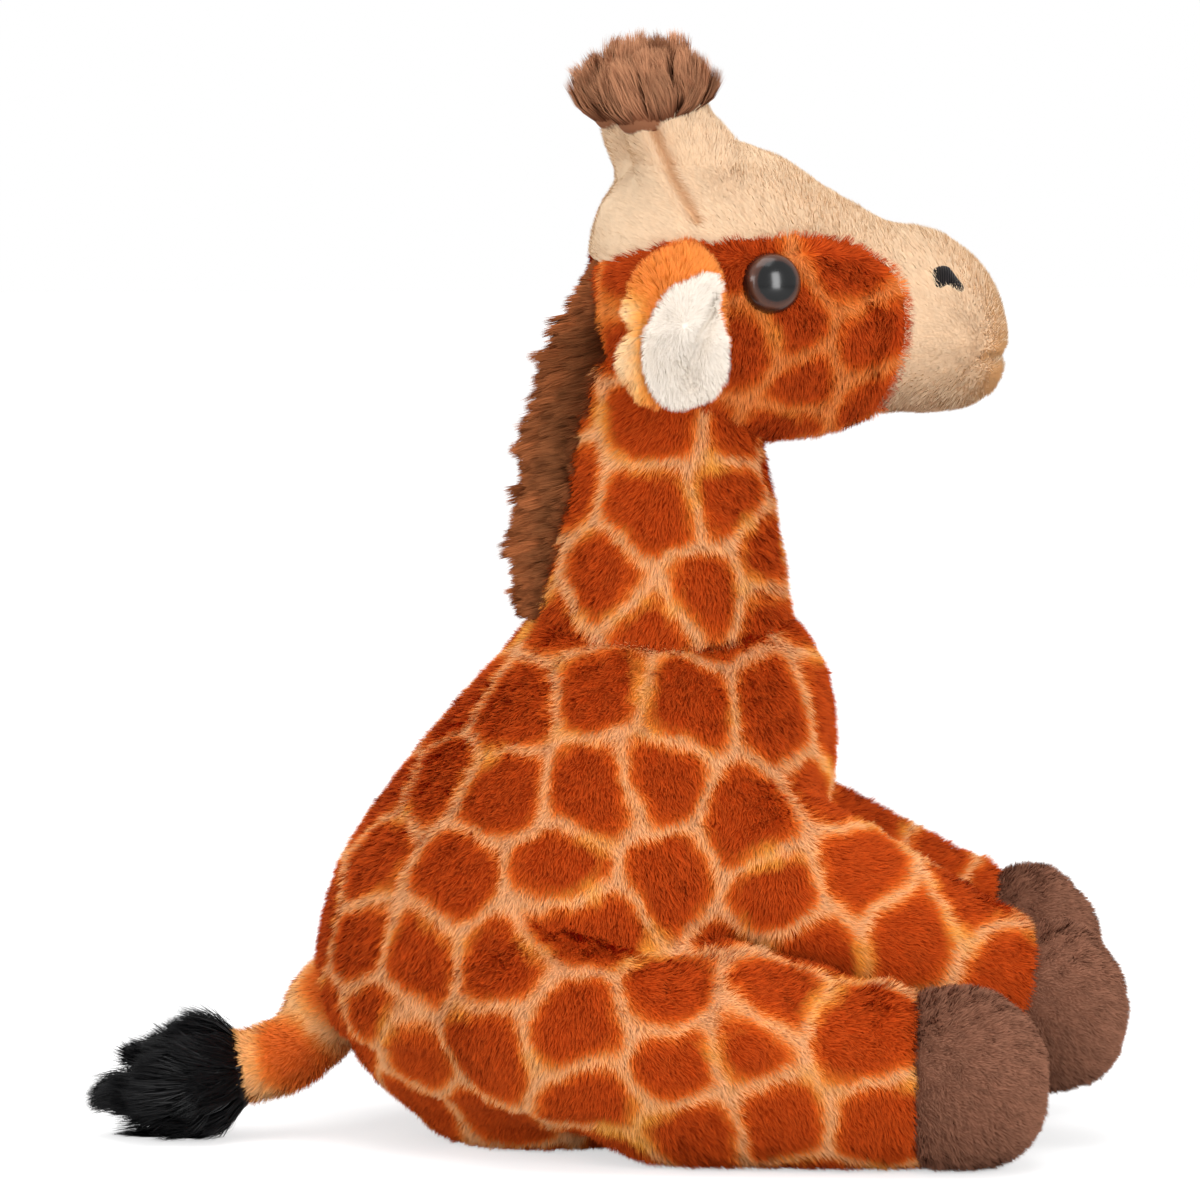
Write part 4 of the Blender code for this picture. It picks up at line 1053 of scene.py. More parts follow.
GLOSSY_HAIR = {"Roughness": 0.38, "Specular_IOR_Level": 0.18}
MATERIALS = {
    "body": pile_material("spotted plush", SPOT_STOPS, (255, 150, 70), 0.16, 0.64, 0.16, (250, 176, 66)),
    "cheek": pile_material("cheek plush", CHEEK_STOPS, (255, 144, 66), 0.18, 0.6, 0.2, (240, 146, 56)),
    "tail": pile_material("tail plush", TAIL_STOPS, (255, 180, 108), 0.2, 0.7, 0.16, (248, 168, 80)),
    "ear": pile_material("ear plush", EAR_STOPS, (255, 206, 140), 0.25, 0.7, 0.14, (250, 160, 60)),
    "face": pile_material("face velour", FACE_STOPS, (248, 221, 188), 0.35, 0.94, 0.06),
    # The mane's wide spread in brightness from lock to lock is partly painted highlight on its locks.
    "mane": pile_material("mane pile", MANE_STOPS, (200, 126, 78), 0.5, 0.5, 0.5),
    "horn_tuft": pile_material(
        "horn tuft pile", (144, 84, 56), (206, 152, 114), 0.75, 0.42, 0.4, (124, 70, 46)
    ),
    "hoof": pile_material("hoof plush", (132, 82, 62), (180, 130, 104), 0.5, 0.66, 0.24, (112, 70, 53)),
    # The tail tuft's grey tips and its spread from strand to strand are partly painted glints on black hair.
    "tail_tuft": pile_material("tail pile", (2, 2, 3), (16, 16, 18), 0.6, 0.6, 0.7, (4, 4, 5), **GLOSSY_HAIR),
    "lining": pile_material(
        "ear lining plush", (246, 236, 224), (252, 246, 238), 0.5, 0.9, 0.03, (240, 226, 208)
    ),
}
MATERIALS["horn"] = MATERIALS["face"]
SLOTS = {
    "body": "spotted_plush", "cheek": "spotted_plush", "tail": "spotted_plush", "ear": "spotted_plush",
    "lining": "ear_lining_plush", "face": "muzzle_velour", "horn": "tan_velour", "hoof": "hoof_plush",
    "mane": "mane_pile", "horn_tuft": "horn_tuft_pile", "tail_tuft": "tail_pile",
}
# Lengths and widths are in millimetres. Density is a share of PILE_DENSITY. fill is taken out of each style
# and not used.
PILE_DENSITY = 7.5
PLAIN = dict(density=1.0, fill=0.8, bends=False)
LONG = dict(fill=0, bends=True, free=True, lean=1.0, follow=0.35)
TUFT = LONG | dict(width=0.34, density=2.6)
PILES = {
    "body": dict(length=3.1, width=0.35, lean=1.15, ruffle=0.5, density=0.94),
    "cheek": dict(length=3.0, width=0.36, lean=1.1, ruffle=0.55),
    "tail": dict(length=3.1, width=0.35, lean=1.15, ruffle=0.5, density=0.94),
    "ear": dict(length=3.4, width=0.26, lean=1.4, ruffle=0.5, density=2.2, fill=0.3, clumps=260, gather=0.3),
    "lining": dict(length=2.5, width=0.24, lean=1.1, ruffle=0.32, density=3.0, fill=0.3),
    "face": dict(length=2.2, width=0.28, lean=1.2, ruffle=0.17, density=1.65, follow=0.86),
    "horn": dict(length=2.1, width=0.26, lean=1.3, ruffle=0.3, density=1.9),
    "hoof": dict(length=2.3, width=0.34, lean=1.0, ruffle=0.55, density=1.02),
    "mane": LONG | dict(width=0.42, ruffle=0.2, density=3.1, clumps=420, gather=0.6, uneven=0.2),
    "horn_tuft": TUFT | dict(length=12.0, ruffle=0.36, clumps=64, gather=0.66, uneven=0.45),
    "tail_tuft": TUFT | dict(length=15.0, ruffle=0.5, clumps=80, gather=0.72, uneven=0.42, follow=0.3),
}
print(len(PILES), "kinds of pile")

# %% [markdown]
# Growing the pile. Roots are spread evenly over the skin. Each strand is one slim triangle that rises from
# the cloth and leans the way the pile is combed. Its shading normal is mostly the skin's own, so that the
# pile takes the light as one soft surface.


# %% Growing the pile
def scattered(skin, count, keep, rng):
    """Places spread evenly over a skin, as the function that gives a value of its points at each place. A
    triangle gets places by its area times the share that it keeps."""
    quads = skin["quads"][:skin["grown"]]
    triangles = np.vstack([quads[:, [0, 1, 2]], quads[:, [0, 2, 3]]])
    a, b, c = (skin["points"][triangles[:, k]] for k in range(3))
    area = np.linalg.norm(np.cross(b - a, c - a), axis=1) / 2
    if keep is not None:
        area = area * keep[triangles].mean(1)
    total = np.cumsum(area)
    picks = (np.arange(count) + rng.random(count)) / count * total[-1]
    chosen = np.minimum(np.searchsorted(total, picks), len(total) - 1)
    u, v = rng.random((2, count))
    flip = u + v > 1
    u, v = np.where(flip, 1 - u, u), np.where(flip, 1 - v, v)
    shares, corners = np.stack([1 - u - v, u, v], 1), triangles[chosen]
    return lambda values: np.einsum("ij,ij...->i...", shares, values[corners])


ROOT_DEPTH = 0.25
STEEPEST = 0.12


def grow(
    skin, count, comb, length, width, lean, ruffle, seed, keep=None,
    clumps=0, gather=0.5, uneven=0.0, follow=0.75, free=False,
):
    """Strands on a skin: roots, tips and the three numbers that each carries. A strand runs along
    normal + lean * comb + ruffle * noise, where comb lies in the skin. A free one runs along comb + ruffle *
    noise, whichever way the skin faces. With clumps, tips gather towards that many leaders, which are
    longer or shorter by the share uneven. length is a number, or a function of the places of the roots."""
    rng = np.random.default_rng(seed)
    spread = scattered(skin, count, keep, rng)
    root, own, normal = spread(skin["points"]), spread(skin["own"]), unit(spread(skin["normals"]))
    way = comb(own, root, normal) if callable(comb) else np.broadcast_to(np.array(comb, float), root.shape)
    if not free:
        way = way - normal * (way * normal).sum(1, keepdims=True)
    way = unit(way)
    noise = soft_noise(root, 5.5 * MM, seed + 40, 3) * 0.6 + soft_noise(root, 2.2 * MM, seed + 41, 3) * 0.45
    heading = normal * (not free) + way * lean + noise * ruffle
    heading = unit(heading + rng.normal(size=root.shape) * ruffle * 0.35)
    heading = unit(heading + normal * np.maximum(0, STEEPEST - (heading * normal).sum(1, keepdims=True)))
    length = length(own / MM)[:, None] if callable(length) else length
    long = length * MM * rng.uniform(0.72, 1.12, (count, 1))
    tip = root + heading * (long * (1 + 0.15 * soft_noise(root, 9 * MM, seed + 42)))
    if clumps:
        middle = rng.choice(count, clumps, replace=False)
        nearest = np.concatenate([
            np.linalg.norm(root[s:s + 3000, None] - root[middle][None], axis=2).argmin(1)
            for s in range(0, count, 3000)
        ])
        leader = root[middle] + (tip - root)[middle] * rng.uniform(1 - uneven, 1 + uneven, (clumps, 1))
        tip = tip + (leader[nearest] - tip) * gather * rng.uniform(0.5, 1.0, (count, 1))
    number = 0.5 + 0.6 * (rng.random(count) - 0.5) + 0.2 * soft_noise(root, 3.5 * MM, seed + 43)[:, 0]
    if clumps:
        number = 0.45 * number + 0.55 * rng.random(clumps)[nearest]
    heading = unit(tip - root)
    flat = unit(np.cross(heading, normal))
    twist = rng.normal(size=(count, 1)) * 0.5
    flat = flat * np.cos(twist) + np.cross(heading, flat) * np.sin(twist)
    spot = spread(skin["spot"]) if "spot" in skin else np.zeros(count)
    return {
        "root": root - normal * ROOT_DEPTH * MM, "tip": tip, "flat": flat * width * MM / 2, "normal": normal,
        "shade": np.clip(spot / 10 + rng.normal(size=count) * 0.02, 0, 1), "own": np.clip(number, 0, 1),
        "follow": follow,
    }


# %% [markdown]
# The strands of a piece become one mesh. Its points carry the shading normal and the three numbers, and
# each strand has a cell of its own on the UV map.


# %% Meshes of strands and skins
def keep_values(mesh, name, kind, field, values):
    """One value for each point of a mesh, kept as a named attribute."""
    values = np.ascontiguousarray(values, dtype=np.float32).ravel()
    mesh.attributes.new(name, kind, "POINT").data.foreach_set(field, values)


def pile_numbers(mesh, shape, depth, along, own):
    """Keeps the three numbers of the pile as the red, green and blue of each point."""
    colours = np.ones((*shape, 4), np.float32)
    colours[..., 0], colours[..., 1], colours[..., 2] = depth, along, own
    keep_values(mesh, "pile", "FLOAT_COLOR", "color", colours)


def pile_mesh(name, strands, bends):
    """Mesh of the strands. A straight strand is one triangle. One that bends has a second step: a slim
    four-cornered foot and a triangle above it."""
    root, tip, flat, normal = (strands[key] for key in ("root", "tip", "flat", "normal"))
    count = len(root)
    if bends:
        middle = (root + tip) / 2 + normal * np.linalg.norm(tip - root, axis=1)[:, None] * 0.10
        rings = np.stack([root - flat, root + flat, middle - flat * 0.8, middle + flat * 0.8, tip], 1)
        corner = np.array([[0, 1, 3], [0, 3, 2], [2, 3, 4]])
        along = np.array([0.0, 0.0, 0.55, 0.55, 1.0])
        cell = np.array([[0.1, 0.1], [0.9, 0.1], [0.2, 0.5], [0.8, 0.5], [0.5, 0.9]])
    else:
        rings = np.stack([root - flat, root + flat, tip], 1)
        corner = np.array([[0, 1, 2]])
        along = np.array([0.0, 0.0, 1.0])
        cell = np.array([[0.1, 0.1], [0.9, 0.1], [0.5, 0.9]])
    each = rings.shape[1]
    points = rings.reshape(-1, 3)
    points[:, 2] = np.maximum(points[:, 2], 0.1 * MM)
    faces = (np.arange(count)[:, None, None] * each + corner[None]).reshape(-1, 3)
    a, b, c = (points[faces[:, k]] for k in range(3))
    front = np.cross(b - a, c - a)
    inward = (front * np.repeat(normal, len(corner), axis=0)).sum(1) < 0
    faces[inward] = faces[inward][:, [0, 2, 1]]
    front[inward] *= -1
    mesh = new_mesh(name, points, [faces])
    share = strands["follow"]
    shading = unit(normal * share + unit(front.reshape(count, -1, 3).sum(1)) * (1 - share))
    keep_values(mesh, "custom_normal", "FLOAT_VECTOR", "vector", np.repeat(shading, each, axis=0))
    pile_numbers(mesh, (count, each), strands["shade"][:, None], along[None], strands["own"][:, None])
    side = math.ceil(math.sqrt(count))
    where = np.stack([np.arange(count) % side, np.arange(count) // side], 1)[:, None] + cell[None]
    layer = mesh.uv_layers.new(name="OFBake", do_init=False)
    layer.uv.foreach_set("vector", (where.reshape(-1, 2)[faces.ravel()] / side).astype(np.float32).ravel())
    return mesh


def skin_object(name, material):
    """The cloth under the pile as an object. Its points carry the same three numbers as the strands."""
    skin = skins[name]
    count = len(skin["points"])
    mesh = new_mesh(name, skin["points"], [skin["quads"]])
    keep_values(mesh, "custom_normal", "FLOAT_VECTOR", "vector", skin["normals"])
    # The cloth stands at 0.35 along a strand, so it takes the strands' painted root shade.
    pile_numbers(mesh, (count,), np.clip(skin.get("spot", np.zeros(count)) / 10, 0, 1), 0.35, 0.5)
    return new_object(name, mesh, material)


def area_of(skin, keep=None):
    """Square millimetres of a skin that carry pile: half of each face's vector, times what it keeps."""
    quads = skin["quads"][:skin["grown"]]
    area = np.linalg.norm(face_vectors(skin["points"], quads), axis=1) / 2
    if keep is not None:
        area = area * keep[quads].mean(1)
    return area.sum() / MM**2


print("pile can grow")

# %% [markdown]
# Each piece now gets its skin and its pile. A rigid piece rides on its body. A leg's pieces are given a
# span across their joint, and stay where they are made, with their place baked into their points.

# %% Dress the body and the legs
MOST_TRIANGLES = 190000


def settle(obj, body, bend):
    """Rides on a body. Given a bend, (body, start, end), it rides on nothing and stays where it is, its place
    baked into its points; what the bend holds is not used.
    """
    if bend:
        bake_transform(obj)
    else:
        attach(obj, body)


def dress(name, body, kind, stands_for, comb, bend=None, keep=None, **changes):
    """Skin and pile of one piece, both on the same body. A pile of many strands is parted into meshes."""
    skin, slot, material = skins[name], SLOTS[kind], MATERIALS[kind]
    style = {**PLAIN, **PILES[kind], **changes}
    soft, density, bends = (style.pop(key) for key in ("fill", "density", "bends"))
    cover = skin_object(name, material)
    settle(cover, body, bend)
    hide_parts(*stands_for)
    count = int(area_of(skin, keep) * PILE_DENSITY * density)
    most = MOST_TRIANGLES // (3 if bends else 1)
    for number in range(math.ceil(count / most)):
        some = min(most, count - number * most)
        strands = grow(skin, some, comb, seed=number * 7 + len(name), keep=keep, **style)
        pile_name = name.replace("_cover", "_pile") + (f"_{number + 1}" if number else "")
        pile = new_object(pile_name, pile_mesh(pile_name, strands, bends), material)
        settle(pile, body, bend)
    print(name, count, "strands")


def body_comb(own, root, normal):
    """One direction for the whole body, so that no edge of a patch shows: down the torso and a little
    towards the tail, and along the legs towards the hooves, fanned by wide soft noise."""
    x, y, z = root.T / MM
    on_leg = smooth_step(x, 34, 66)
    on_thigh = smooth_step(x, -14, 26) * smooth_step(np.abs(y), 30, 44) * (1 - smooth_step(z, 52, 64))
    share = np.maximum(on_leg, on_thigh)[:, None]
    way = np.array([-0.35, 0.0, -1.0]) * (1 - share) + np.array([0.9, 0.0, -0.55]) * share
    return way + soft_noise(root, 60 * MM, 9, 3) * 0.35


# A leg's span starts and ends so many millimetres past its joint, on a line that leads a little aside.
LEGS = {"hind": ("hind_leg", HIP, 0.45, 40, 85), "fore": ("foreleg", SHOULDER, 0.15, 15, 65)}
dress("torso_cover", "torso_body", "body", ["torso"], body_comb)
neck_z = skins["neck_cover"]["own"][:, 2]
outside = 1.0 * (neck_z > 128 * MM) * (neck_z < 208 * MM)
dress("neck_cover", "neck_body", "body", ["neck"], body_comb, keep=outside)
for label, side in SIDES.items():
    for leg, joint, aside, start, end in LEGS.values():
        root, way = Vector(on_side(joint, side)), Vector((1.0, side * aside, -0.3)).normalized()
        across = ("torso_body", (root + way * start) * MM, (root + way * end) * MM)
        dress(f"{leg}_{label}_cover", f"{leg}_{label}_body", "body", [f"{leg}_{label}"], body_comb, across)
    for kind, (leg, *_) in LEGS.items():
        hoof, sole = f"{kind}_hoof_{label}", f"{kind}_sole_{label}"
        dress(f"{hoof}_cover", f"{leg}_{label}_body", "hoof", [hoof, sole], (1, 0, -0.5))

# %% [markdown]
# The pile on an ear is combed out over its edge. None grows where the lining is sewn on, and none under an
# eye or a nostril, where the real pile is trimmed away.


# %% Dress the ears, the tail and the head
def away_from_leaf(own, root, normal):
    """Pile of the ear's back: outwards over its edge all round, and down."""
    out = (own - np.array([14.0, 0.0, 220.0]) * MM) * [1, 0, 1]
    return unit(out) + np.array([0, 0, -0.3])


def off_lining(skin):
    """How much pile a point of the ear keeps: none on the side that its lining covers."""
    rows = np.array(LINING_ROWS)[::-1]
    x, y, z = skin["own"].T / MM
    apart = np.abs(x - np.interp(z, rows[:, 2], rows[:, 0])) - np.interp(z, rows[:, 2], rows[:, 3])
    return 1.0 - (apart < -1.5) * (np.abs(y) > 40.2) * (z < 229.5)


def off_place(skin, place, low, high):
    """How much pile a point keeps near a place and its mirror image: none to low millimetres away, and all
    of it from high."""
    both_sides = skin["own"] * [1, 0, 1] + np.abs(skin["own"]) * [0, 1, 0]
    return smooth_step(np.linalg.norm(both_sides - np.array(place) * MM, axis=1), low * MM, high * MM)


def round_the_cheek(own, root, normal):
    """Pile combed back from the nose and down, parting round the eye."""
    away = (own - np.array(EYE) * MM) * [1, 0, 1]
    near = bell(np.linalg.norm(away, axis=1), 16 * MM)[:, None]
    at_seam = bell(distance_to_line(own[:, [0, 2]], FACE_SEAM)[0], 3 * MM)[:, None]
    outwards = unit((own - np.array([42.0, 0.0, 212.0]) * MM) * [1, 0, 1])
    fanned = soft_noise(root, 30 * MM, 12, 3) * 0.4
    return np.array([-0.5, 0.0, -0.9]) + unit(away) * 1.4 * near + outwards * 2.4 * at_seam + fanned


def off_horn_seam(skin):
    return smooth_step(skin["seam"], 0.2, 1.1)


NOSTRIL = (91.0, 19.6, 230.4)
for label in SIDES:
    ear, lining = f"ear_{label}", f"ear_lining_{label}"
    bare = off_lining(skins[f"{ear}_cover"])
    dress(f"{ear}_cover", f"{ear}_body", "ear", [ear], away_from_leaf, keep=bare)
    dress(f"{lining}_cover", f"{ear}_body", "lining", [lining], away_from_leaf)
dress("tail_cover", "tail_body", "tail", ["tail"], (-1, 0, -0.3))
bare = off_place(skins["head_cover"], EYE, 6.4, 7.4)
dress("head_cover", "head_body", "cheek", ["head"], round_the_cheek, keep=bare)
bare = off_place(skins["face_cover"], NOSTRIL, 3.0, 4.0) * off_horn_seam(skins["face_cover"])
dress("face_cover", "head_body", "face", ["face_panel"], (-0.8, 0, 0.4), keep=bare)
for label in SIDES:
    name = f"horn_{label}_cover"
    dress(name, "head_body", "horn", [f"horn_{label}"], (-0.3, 0, 1), keep=off_horn_seam(skins[name]))

# %% [markdown]
# Mane and tufts are long pile. A slim core gives them body, and long strands that gather in locks make
# their ragged edges. A row of the mane is (x, z) where it leaves the nape and (x, z) at its outer edge.

# %% Mane
MANE_NECK_ROWS = (
    (-10.5, 138.5, -17.5, 137.0), (-9.5, 143.5, -20.5, 141.0), (-8.5, 149.0, -21.5, 146.0),
    (-6.6, 160.0, -21.5, 156.5), (-4.9, 172.0, -20.6, 169.0), (-3.0, 184.0, -19.4, 181.5),
    (-1.8, 194.5, -18.0, 194.0), (-1.6, 198.5, -15.5, 198.5),
)
MANE_HEAD_ROWS = (
    (0.0, 195.5, -16.2, 196.0), (1.0, 199.0, -16.4, 199.6), (3.0, 208.0, -14.2, 208.4),
    (4.5, 217.0, -10.6, 217.2), (5.5, 226.0, -5.4, 226.0), (5.5, 231.0, -1.6, 231.4),
    (5.5, 234.0, 1.8, 234.8),
)
MANE_HALF_WIDTH = 3.6
MANE_RINGS = 60


def mane_core(rows):
    """A closed slab from just inside the nape to half of the way to the tips, thin and round at its outer
    edge. Long strands go on from there."""
    rows = smooth_rows(rows, MANE_RINGS)
    level = np.zeros(MANE_RINGS)
    root = np.stack([rows[:, 0], level, rows[:, 1]], 1) * MM
    tip = np.stack([rows[:, 2], level, rows[:, 3]], 1) * MM
    inner, outer = root + (root - tip) * 0.2, root + (tip - root) * 0.5
    middle, half = (inner + outer) / 2, (outer - inner) / 2
    taper = np.sqrt(np.clip(1 - np.abs(np.linspace(-1, 1, MANE_RINGS)) ** 6, 0.02, 1))[:, None, None]
    angle = np.linspace(0, 2 * np.pi, 24, endpoint=False)[None, :, None]
    slim = 1 - 0.45 * np.clip(np.cos(angle), 0, 1)
    across = np.array([0, MANE_HALF_WIDTH * MM, 0])
    return middle[:, None] + taper * (half[:, None] * np.cos(angle) + across * np.sin(angle) * slim)


def mane_reach(rows, places):
    """Distance from nape to outer edge at each place's height, and how far along it the place is."""
    root_x, height, tip_x, _ = np.array(rows).T
    reach = np.interp(places[:, 2], height, root_x - tip_x)
    return reach, np.clip((np.interp(places[:, 2], height, root_x) - places[:, 0]) / reach, 0, 1)


def mane_comb(own, root, normal):
    """Back and a little down, and upwards at the very top."""
    rise = -0.24 + 0.9 * smooth_step(own[:, 2], 221 * MM, 236 * MM)
    return np.stack([np.full(len(own), -1.0), np.zeros(len(own)), rise], 1)


def outward(points, quads, faces):
    """The faces, turned round if the quads among them face inwards, as most of their vectors then do."""
    middles = points[quads].mean(1) - points.mean(0)
    if (middles * face_vectors(points, quads)).sum() > 0:
        return faces
    return [array[:, ::-1] for array in faces]


# Both halves of the mane are given the same stretch of the nape as their span.
NAPE = ("neck_body", Vector((-0.004, 0.0, 0.178)), Vector((0.004, 0.0, 0.214)))
for piece, rows, turn in (("mane_neck", MANE_NECK_ROWS, None), ("mane_head", MANE_HEAD_ROWS, with_head)):
    name = f"{piece}_cover"
    simple_skin(name, mane_core(rows), 1.4, rub=1, turn=turn)
    skin = skins[name]
    skin["quads"] = outward(skin["points"], skin["quads"], [skin["quads"]])[0]
    skin["normals"] = normals_of(skin["points"], skin["quads"])
    # How far a point lies from the nape picks its mane colour, which carries the painted shade at the nape.
    skin["spot"] = 10 * mane_reach(rows, skin["own"] / MM)[1] * 1.3
    dress(
        name, "head_body", "mane", [piece], mane_comb, NAPE,
        length=lambda places, rows=rows: mane_reach(rows, places)[0] * 0.62 + 1.5,
    )

# %% [markdown]
# The horn tufts stand up in a few pointed locks, and the black tail tuft sticks out every way like a brush.

# %% Tufts
HORN_TUFT_ROWS = (
    (14.6, 15.9, 270.8, 9, 8.6), (13.6, 16.0, 273.4, 11.0, 10.4), (12.6, 16.1, 276.6, 11.2, 10.6),
    (11.8, 16.2, 279.6, 9.4, 9), (11.4, 16.3, 281.2, 6, 6), (11.2, 16.3, 282.2, 1.5, 1.5),
)
TAIL_TUFT_ROWS = (
    (-94.2, 0, 19.0, 8.0, 8.0), (-96.4, 0, 18.6, 9.8, 9.8), (-103, 0, 15.6, 10.6, 10.6),
    (-111, 0, 14.6, 8.6, 9.0), (-117, 0, 14.8, 5.6, 6.0), (-121, 0, 15.0, 2, 2),
)


def fan_from(origin, forward, spread):
    """Strands that spread from a point, mixed with one direction they all take."""
    origin, forward = np.array(origin, float) * MM, np.array(forward, float)
    return lambda own, root, normal: unit(own - origin) * spread + forward


for label, side in SIDES.items():
    name = f"horn_tuft_{label}_cover"
    stub = tube(sided(HORN_TUFT_ROWS, side), 36, 32, along=(-0.3, 0, 0.95))
    simple_skin(name, stub, 1.4, rub=1, turn=with_head)
    fan = fan_from((14.0, side * 16.0, 266), (-0.12, 0, 0.85), 0.5)
    bare = 1.0 - (skins[name]["normals"][:, 2] < -0.55)
    dress(name, "head_body", "horn_tuft", [f"horn_tuft_{label}"], fan, keep=bare)
simple_skin("tail_tuft_cover", tube(TAIL_TUFT_ROWS, 36, 32), 1.4, rub=1)
bare = 1.0 - (skins["tail_tuft_cover"]["normals"][:, 0] > 0.6)
fan = fan_from((-90, 0, 18), (-0.85, 0, 0.06), 0.75)
dress("tail_tuft_cover", "tail_body", "tail_tuft", ["tail_tuft"], fan, keep=bare)

# %% [markdown]
# The eye is a moulded dome: a black pupil behind clear plastic, with a brown iris round it and a dark rim.
# Its colours follow the distance from the dome's middle, which each point carries as a number.

# %% Eyes
EYE_STOPS = (
    (0.0, (6, 7, 9)), (0.67, (8, 8, 9)), (0.73, (58, 34, 26)), (0.88, (86, 52, 38)), (1.0, (34, 20, 16)),
)
DOME_HEIGHT = 4.9
DOME_ANGLES = np.linspace(0.012, np.pi / 2, 24)
DOME = [(EYE_RADIUS * math.sin(a), 0.9 + DOME_HEIGHT * math.cos(a)) for a in DOME_ANGLES]
DOME += [(EYE_RADIUS + 0.15, 0.3), (EYE_RADIUS - 0.6, -0.6)]


def revolved(profile, steps=64):
    """A profile of (radius, height) turned about Z: x = r cos(angle), y = r sin(angle), z = height."""
    profile = np.array(profile, float) * MM
    angle = np.linspace(0, 2 * np.pi, steps, endpoint=False)[None]
    radius, height = profile[:, :1], np.broadcast_to(profile[:, 1:], (len(profile), steps))
    return np.stack([radius * np.cos(angle), radius * np.sin(angle), height], -1)[::-1]


def eye_material():
    """Black pupil, brown iris and dark rim by distance from the middle, with a fine grain, under a gloss."""
    material, put, surface = new_surface("moulded eye", Roughness=0.19, Specular_IOR_Level=0.5)
    away = put("Attribute", attribute_name="from_middle").outputs["Fac"]
    grain = put("TexNoise", {"Scale": 900.0, "Vector": object_place(put)}).outputs[0]
    place = put("Math", {0: grain, 1: 0.05, 2: away}, operation="MULTIPLY_ADD").outputs[0]
    fill(surface, {"Base Color": colour_ramp(put, place, EYE_STOPS)})
    return material


def add_solid(name, points, faces, material, node):
    """A closed piece of the head that stands for one node."""
    obj = new_object(name, new_mesh(name, with_head(points), faces), material)
    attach(obj, "head_body")
    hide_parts(node)
    return obj


eye_stuff = eye_material()
for label, side in SIDES.items():
    facing = Vector((math.sin(EYE_TILT), side * math.cos(EYE_TILT), 0.05)).normalized()
    turn = np.array(facing.to_track_quat("Z", "Y").to_matrix())
    points, faces = closed_tube(revolved(DOME))
    away = np.hypot(points[:, 0], points[:, 1] - 0.6 * MM) / (EYE_RADIUS * MM)
    seated_points = points @ turn.T + np.array(on_side(EYE, side)) * MM
    dome = add_solid(f"eye_{label}_dome", seated_points, faces, eye_stuff, f"eye_{label}")
    keep_values(dome.data, "from_middle", "FLOAT", "value", away)
print("eyes are in")

# %% [markdown]
# The nostril is a padded patch of black satin stitch: fine parallel threads over a little filling.

# %% Nostrils
NOSTRIL_SHAPE = (
    (-3.4, 3.4), (-1.0, 4.1), (1.0, 3.6), (2.2, 1.6), (3.4, -0.6), (4.6, -2.4), (4.6, -3.7), (3.2, -4.1),
    (1.6, -3.4), (0.2, -2.2), (-1.2, -2.4), (-2.8, -3.0), (-4.2, -2.2), (-4.5, 0.2), (-4.2, 2.2),
)
NOSTRIL_SIZE = 0.94


def threaded(name, scale, dark, light, depth, directions=("X",), distortion=0.0, **values):
    """Threads as waves that run one way or cross each other, as colour and as bump. The colour follows the
    height: painted shade in the grooves and a painted highlight on the crests.
    """
    material, put, surface = new_surface(name, **values)
    wave = {"Scale": scale, "Distortion": distortion, "Vector": object_place(put)}
    waves = [put("TexWave", wave, bands_direction=way).outputs["Fac"] for way in directions]
    height = waves[0] if len(waves) == 1 else times(put, *waves)
    bump = put("Bump", {"Distance": depth, "Height": height})
    # Painted shade and highlight: dark where a thread dips, light where it rises.
    colour = colour_ramp(put, height, ((0.0, dark), (1.0, light)))
    fill(surface, {"Base Color": colour, "Normal": bump.outputs["Normal"]})
    return material


def nostril_patch(side):
    """A padded patch over an outline of (forwards, up). Ring k of 9 is the outline shrunk to the share
    sin(angle), and it stands cos(angle) times its height above the muzzle."""
    outline = smooth_rows([(*place, 0, 0, 0) for place in (*NOSTRIL_SHAPE, NOSTRIL_SHAPE[0])], 61)[:-1, :2]
    angle = np.linspace(np.pi / 2, 0.06, 9)[:, None, None]
    flat = (outline * NOSTRIL_SIZE)[None] * np.sin(angle)
    height = np.broadcast_to(-0.9 + 1.75 * np.cos(angle) ** 0.8, (9, 60, 1))
    outwards = unit(np.array([0.14, side * 0.88, 0.46]))
    up = unit(np.array([0, 0, 1.0]) - outwards * outwards[2])
    ahead = np.cross(up, outwards) * side
    ahead = ahead * np.sign(ahead[0])
    bow = (flat**2).sum(-1, keepdims=True) * -0.018
    grid = flat[..., :1] * ahead + flat[..., 1:] * up + (height + bow) * outwards
    points, faces = closed_tube((grid + np.array(on_side(NOSTRIL, side))) * MM)
    return points, outward(points, faces[0], faces)


stitch_stuff = threaded(
    "nostril stitch", 520.0, (12, 11, 12), (40, 36, 36), 0.0002,
    distortion=1.5, Roughness=0.45, Sheen_Weight=0.2,
)
for label, side in SIDES.items():
    points, faces = nostril_patch(side)
    add_solid(f"nostril_{label}_patch", points, faces, stitch_stuff, f"nostril_{label}")
print("nostrils are in")

# %% [markdown]
# The pieces inside the toy and its seat keep their solids and get plain materials of their own.


# %% Hidden pieces
def woven(name, dark, light, scale):
    """Plain woven cloth, from threads that cross."""
    return threaded(name, scale, dark, light, 0.0003, directions=("X", "Y"), Roughness=0.9, Sheen_Weight=0.1)


washer_stuff = woven("washer plastic", (214, 214, 212), (228, 228, 226), 90.0)
HIDDEN = {
    "seat_panel": woven("seat cloth", (196, 120, 66), (226, 158, 104), 380.0),
    "pellet_bag": woven("pellet bag cloth", (206, 202, 192), (234, 230, 222), 300.0),
    "eye_washer_right": washer_stuff,
    "eye_washer_left": washer_stuff,
}
for name, material in HIDDEN.items():
    nodes[name].data.materials.clear()
    nodes[name].data.materials.append(material)
print(len(HIDDEN), "hidden pieces have materials")

# %% [markdown]
# A product photograph on white: light comes softly from everywhere, a little more from above and from the
# camera's side. The floor is pale and keeps a faint shadow. Only the camera sees it glow, so that it turns
# white without lighting the toy from below.

# %% Floor and backdrop
FLOOR_HALF = 4.0
FLOOR_TILES = 8
FLOOR_DEPTH = 0.00005
FLOOR_GLOW = 0.6
WORLD_LIGHT = 0.75


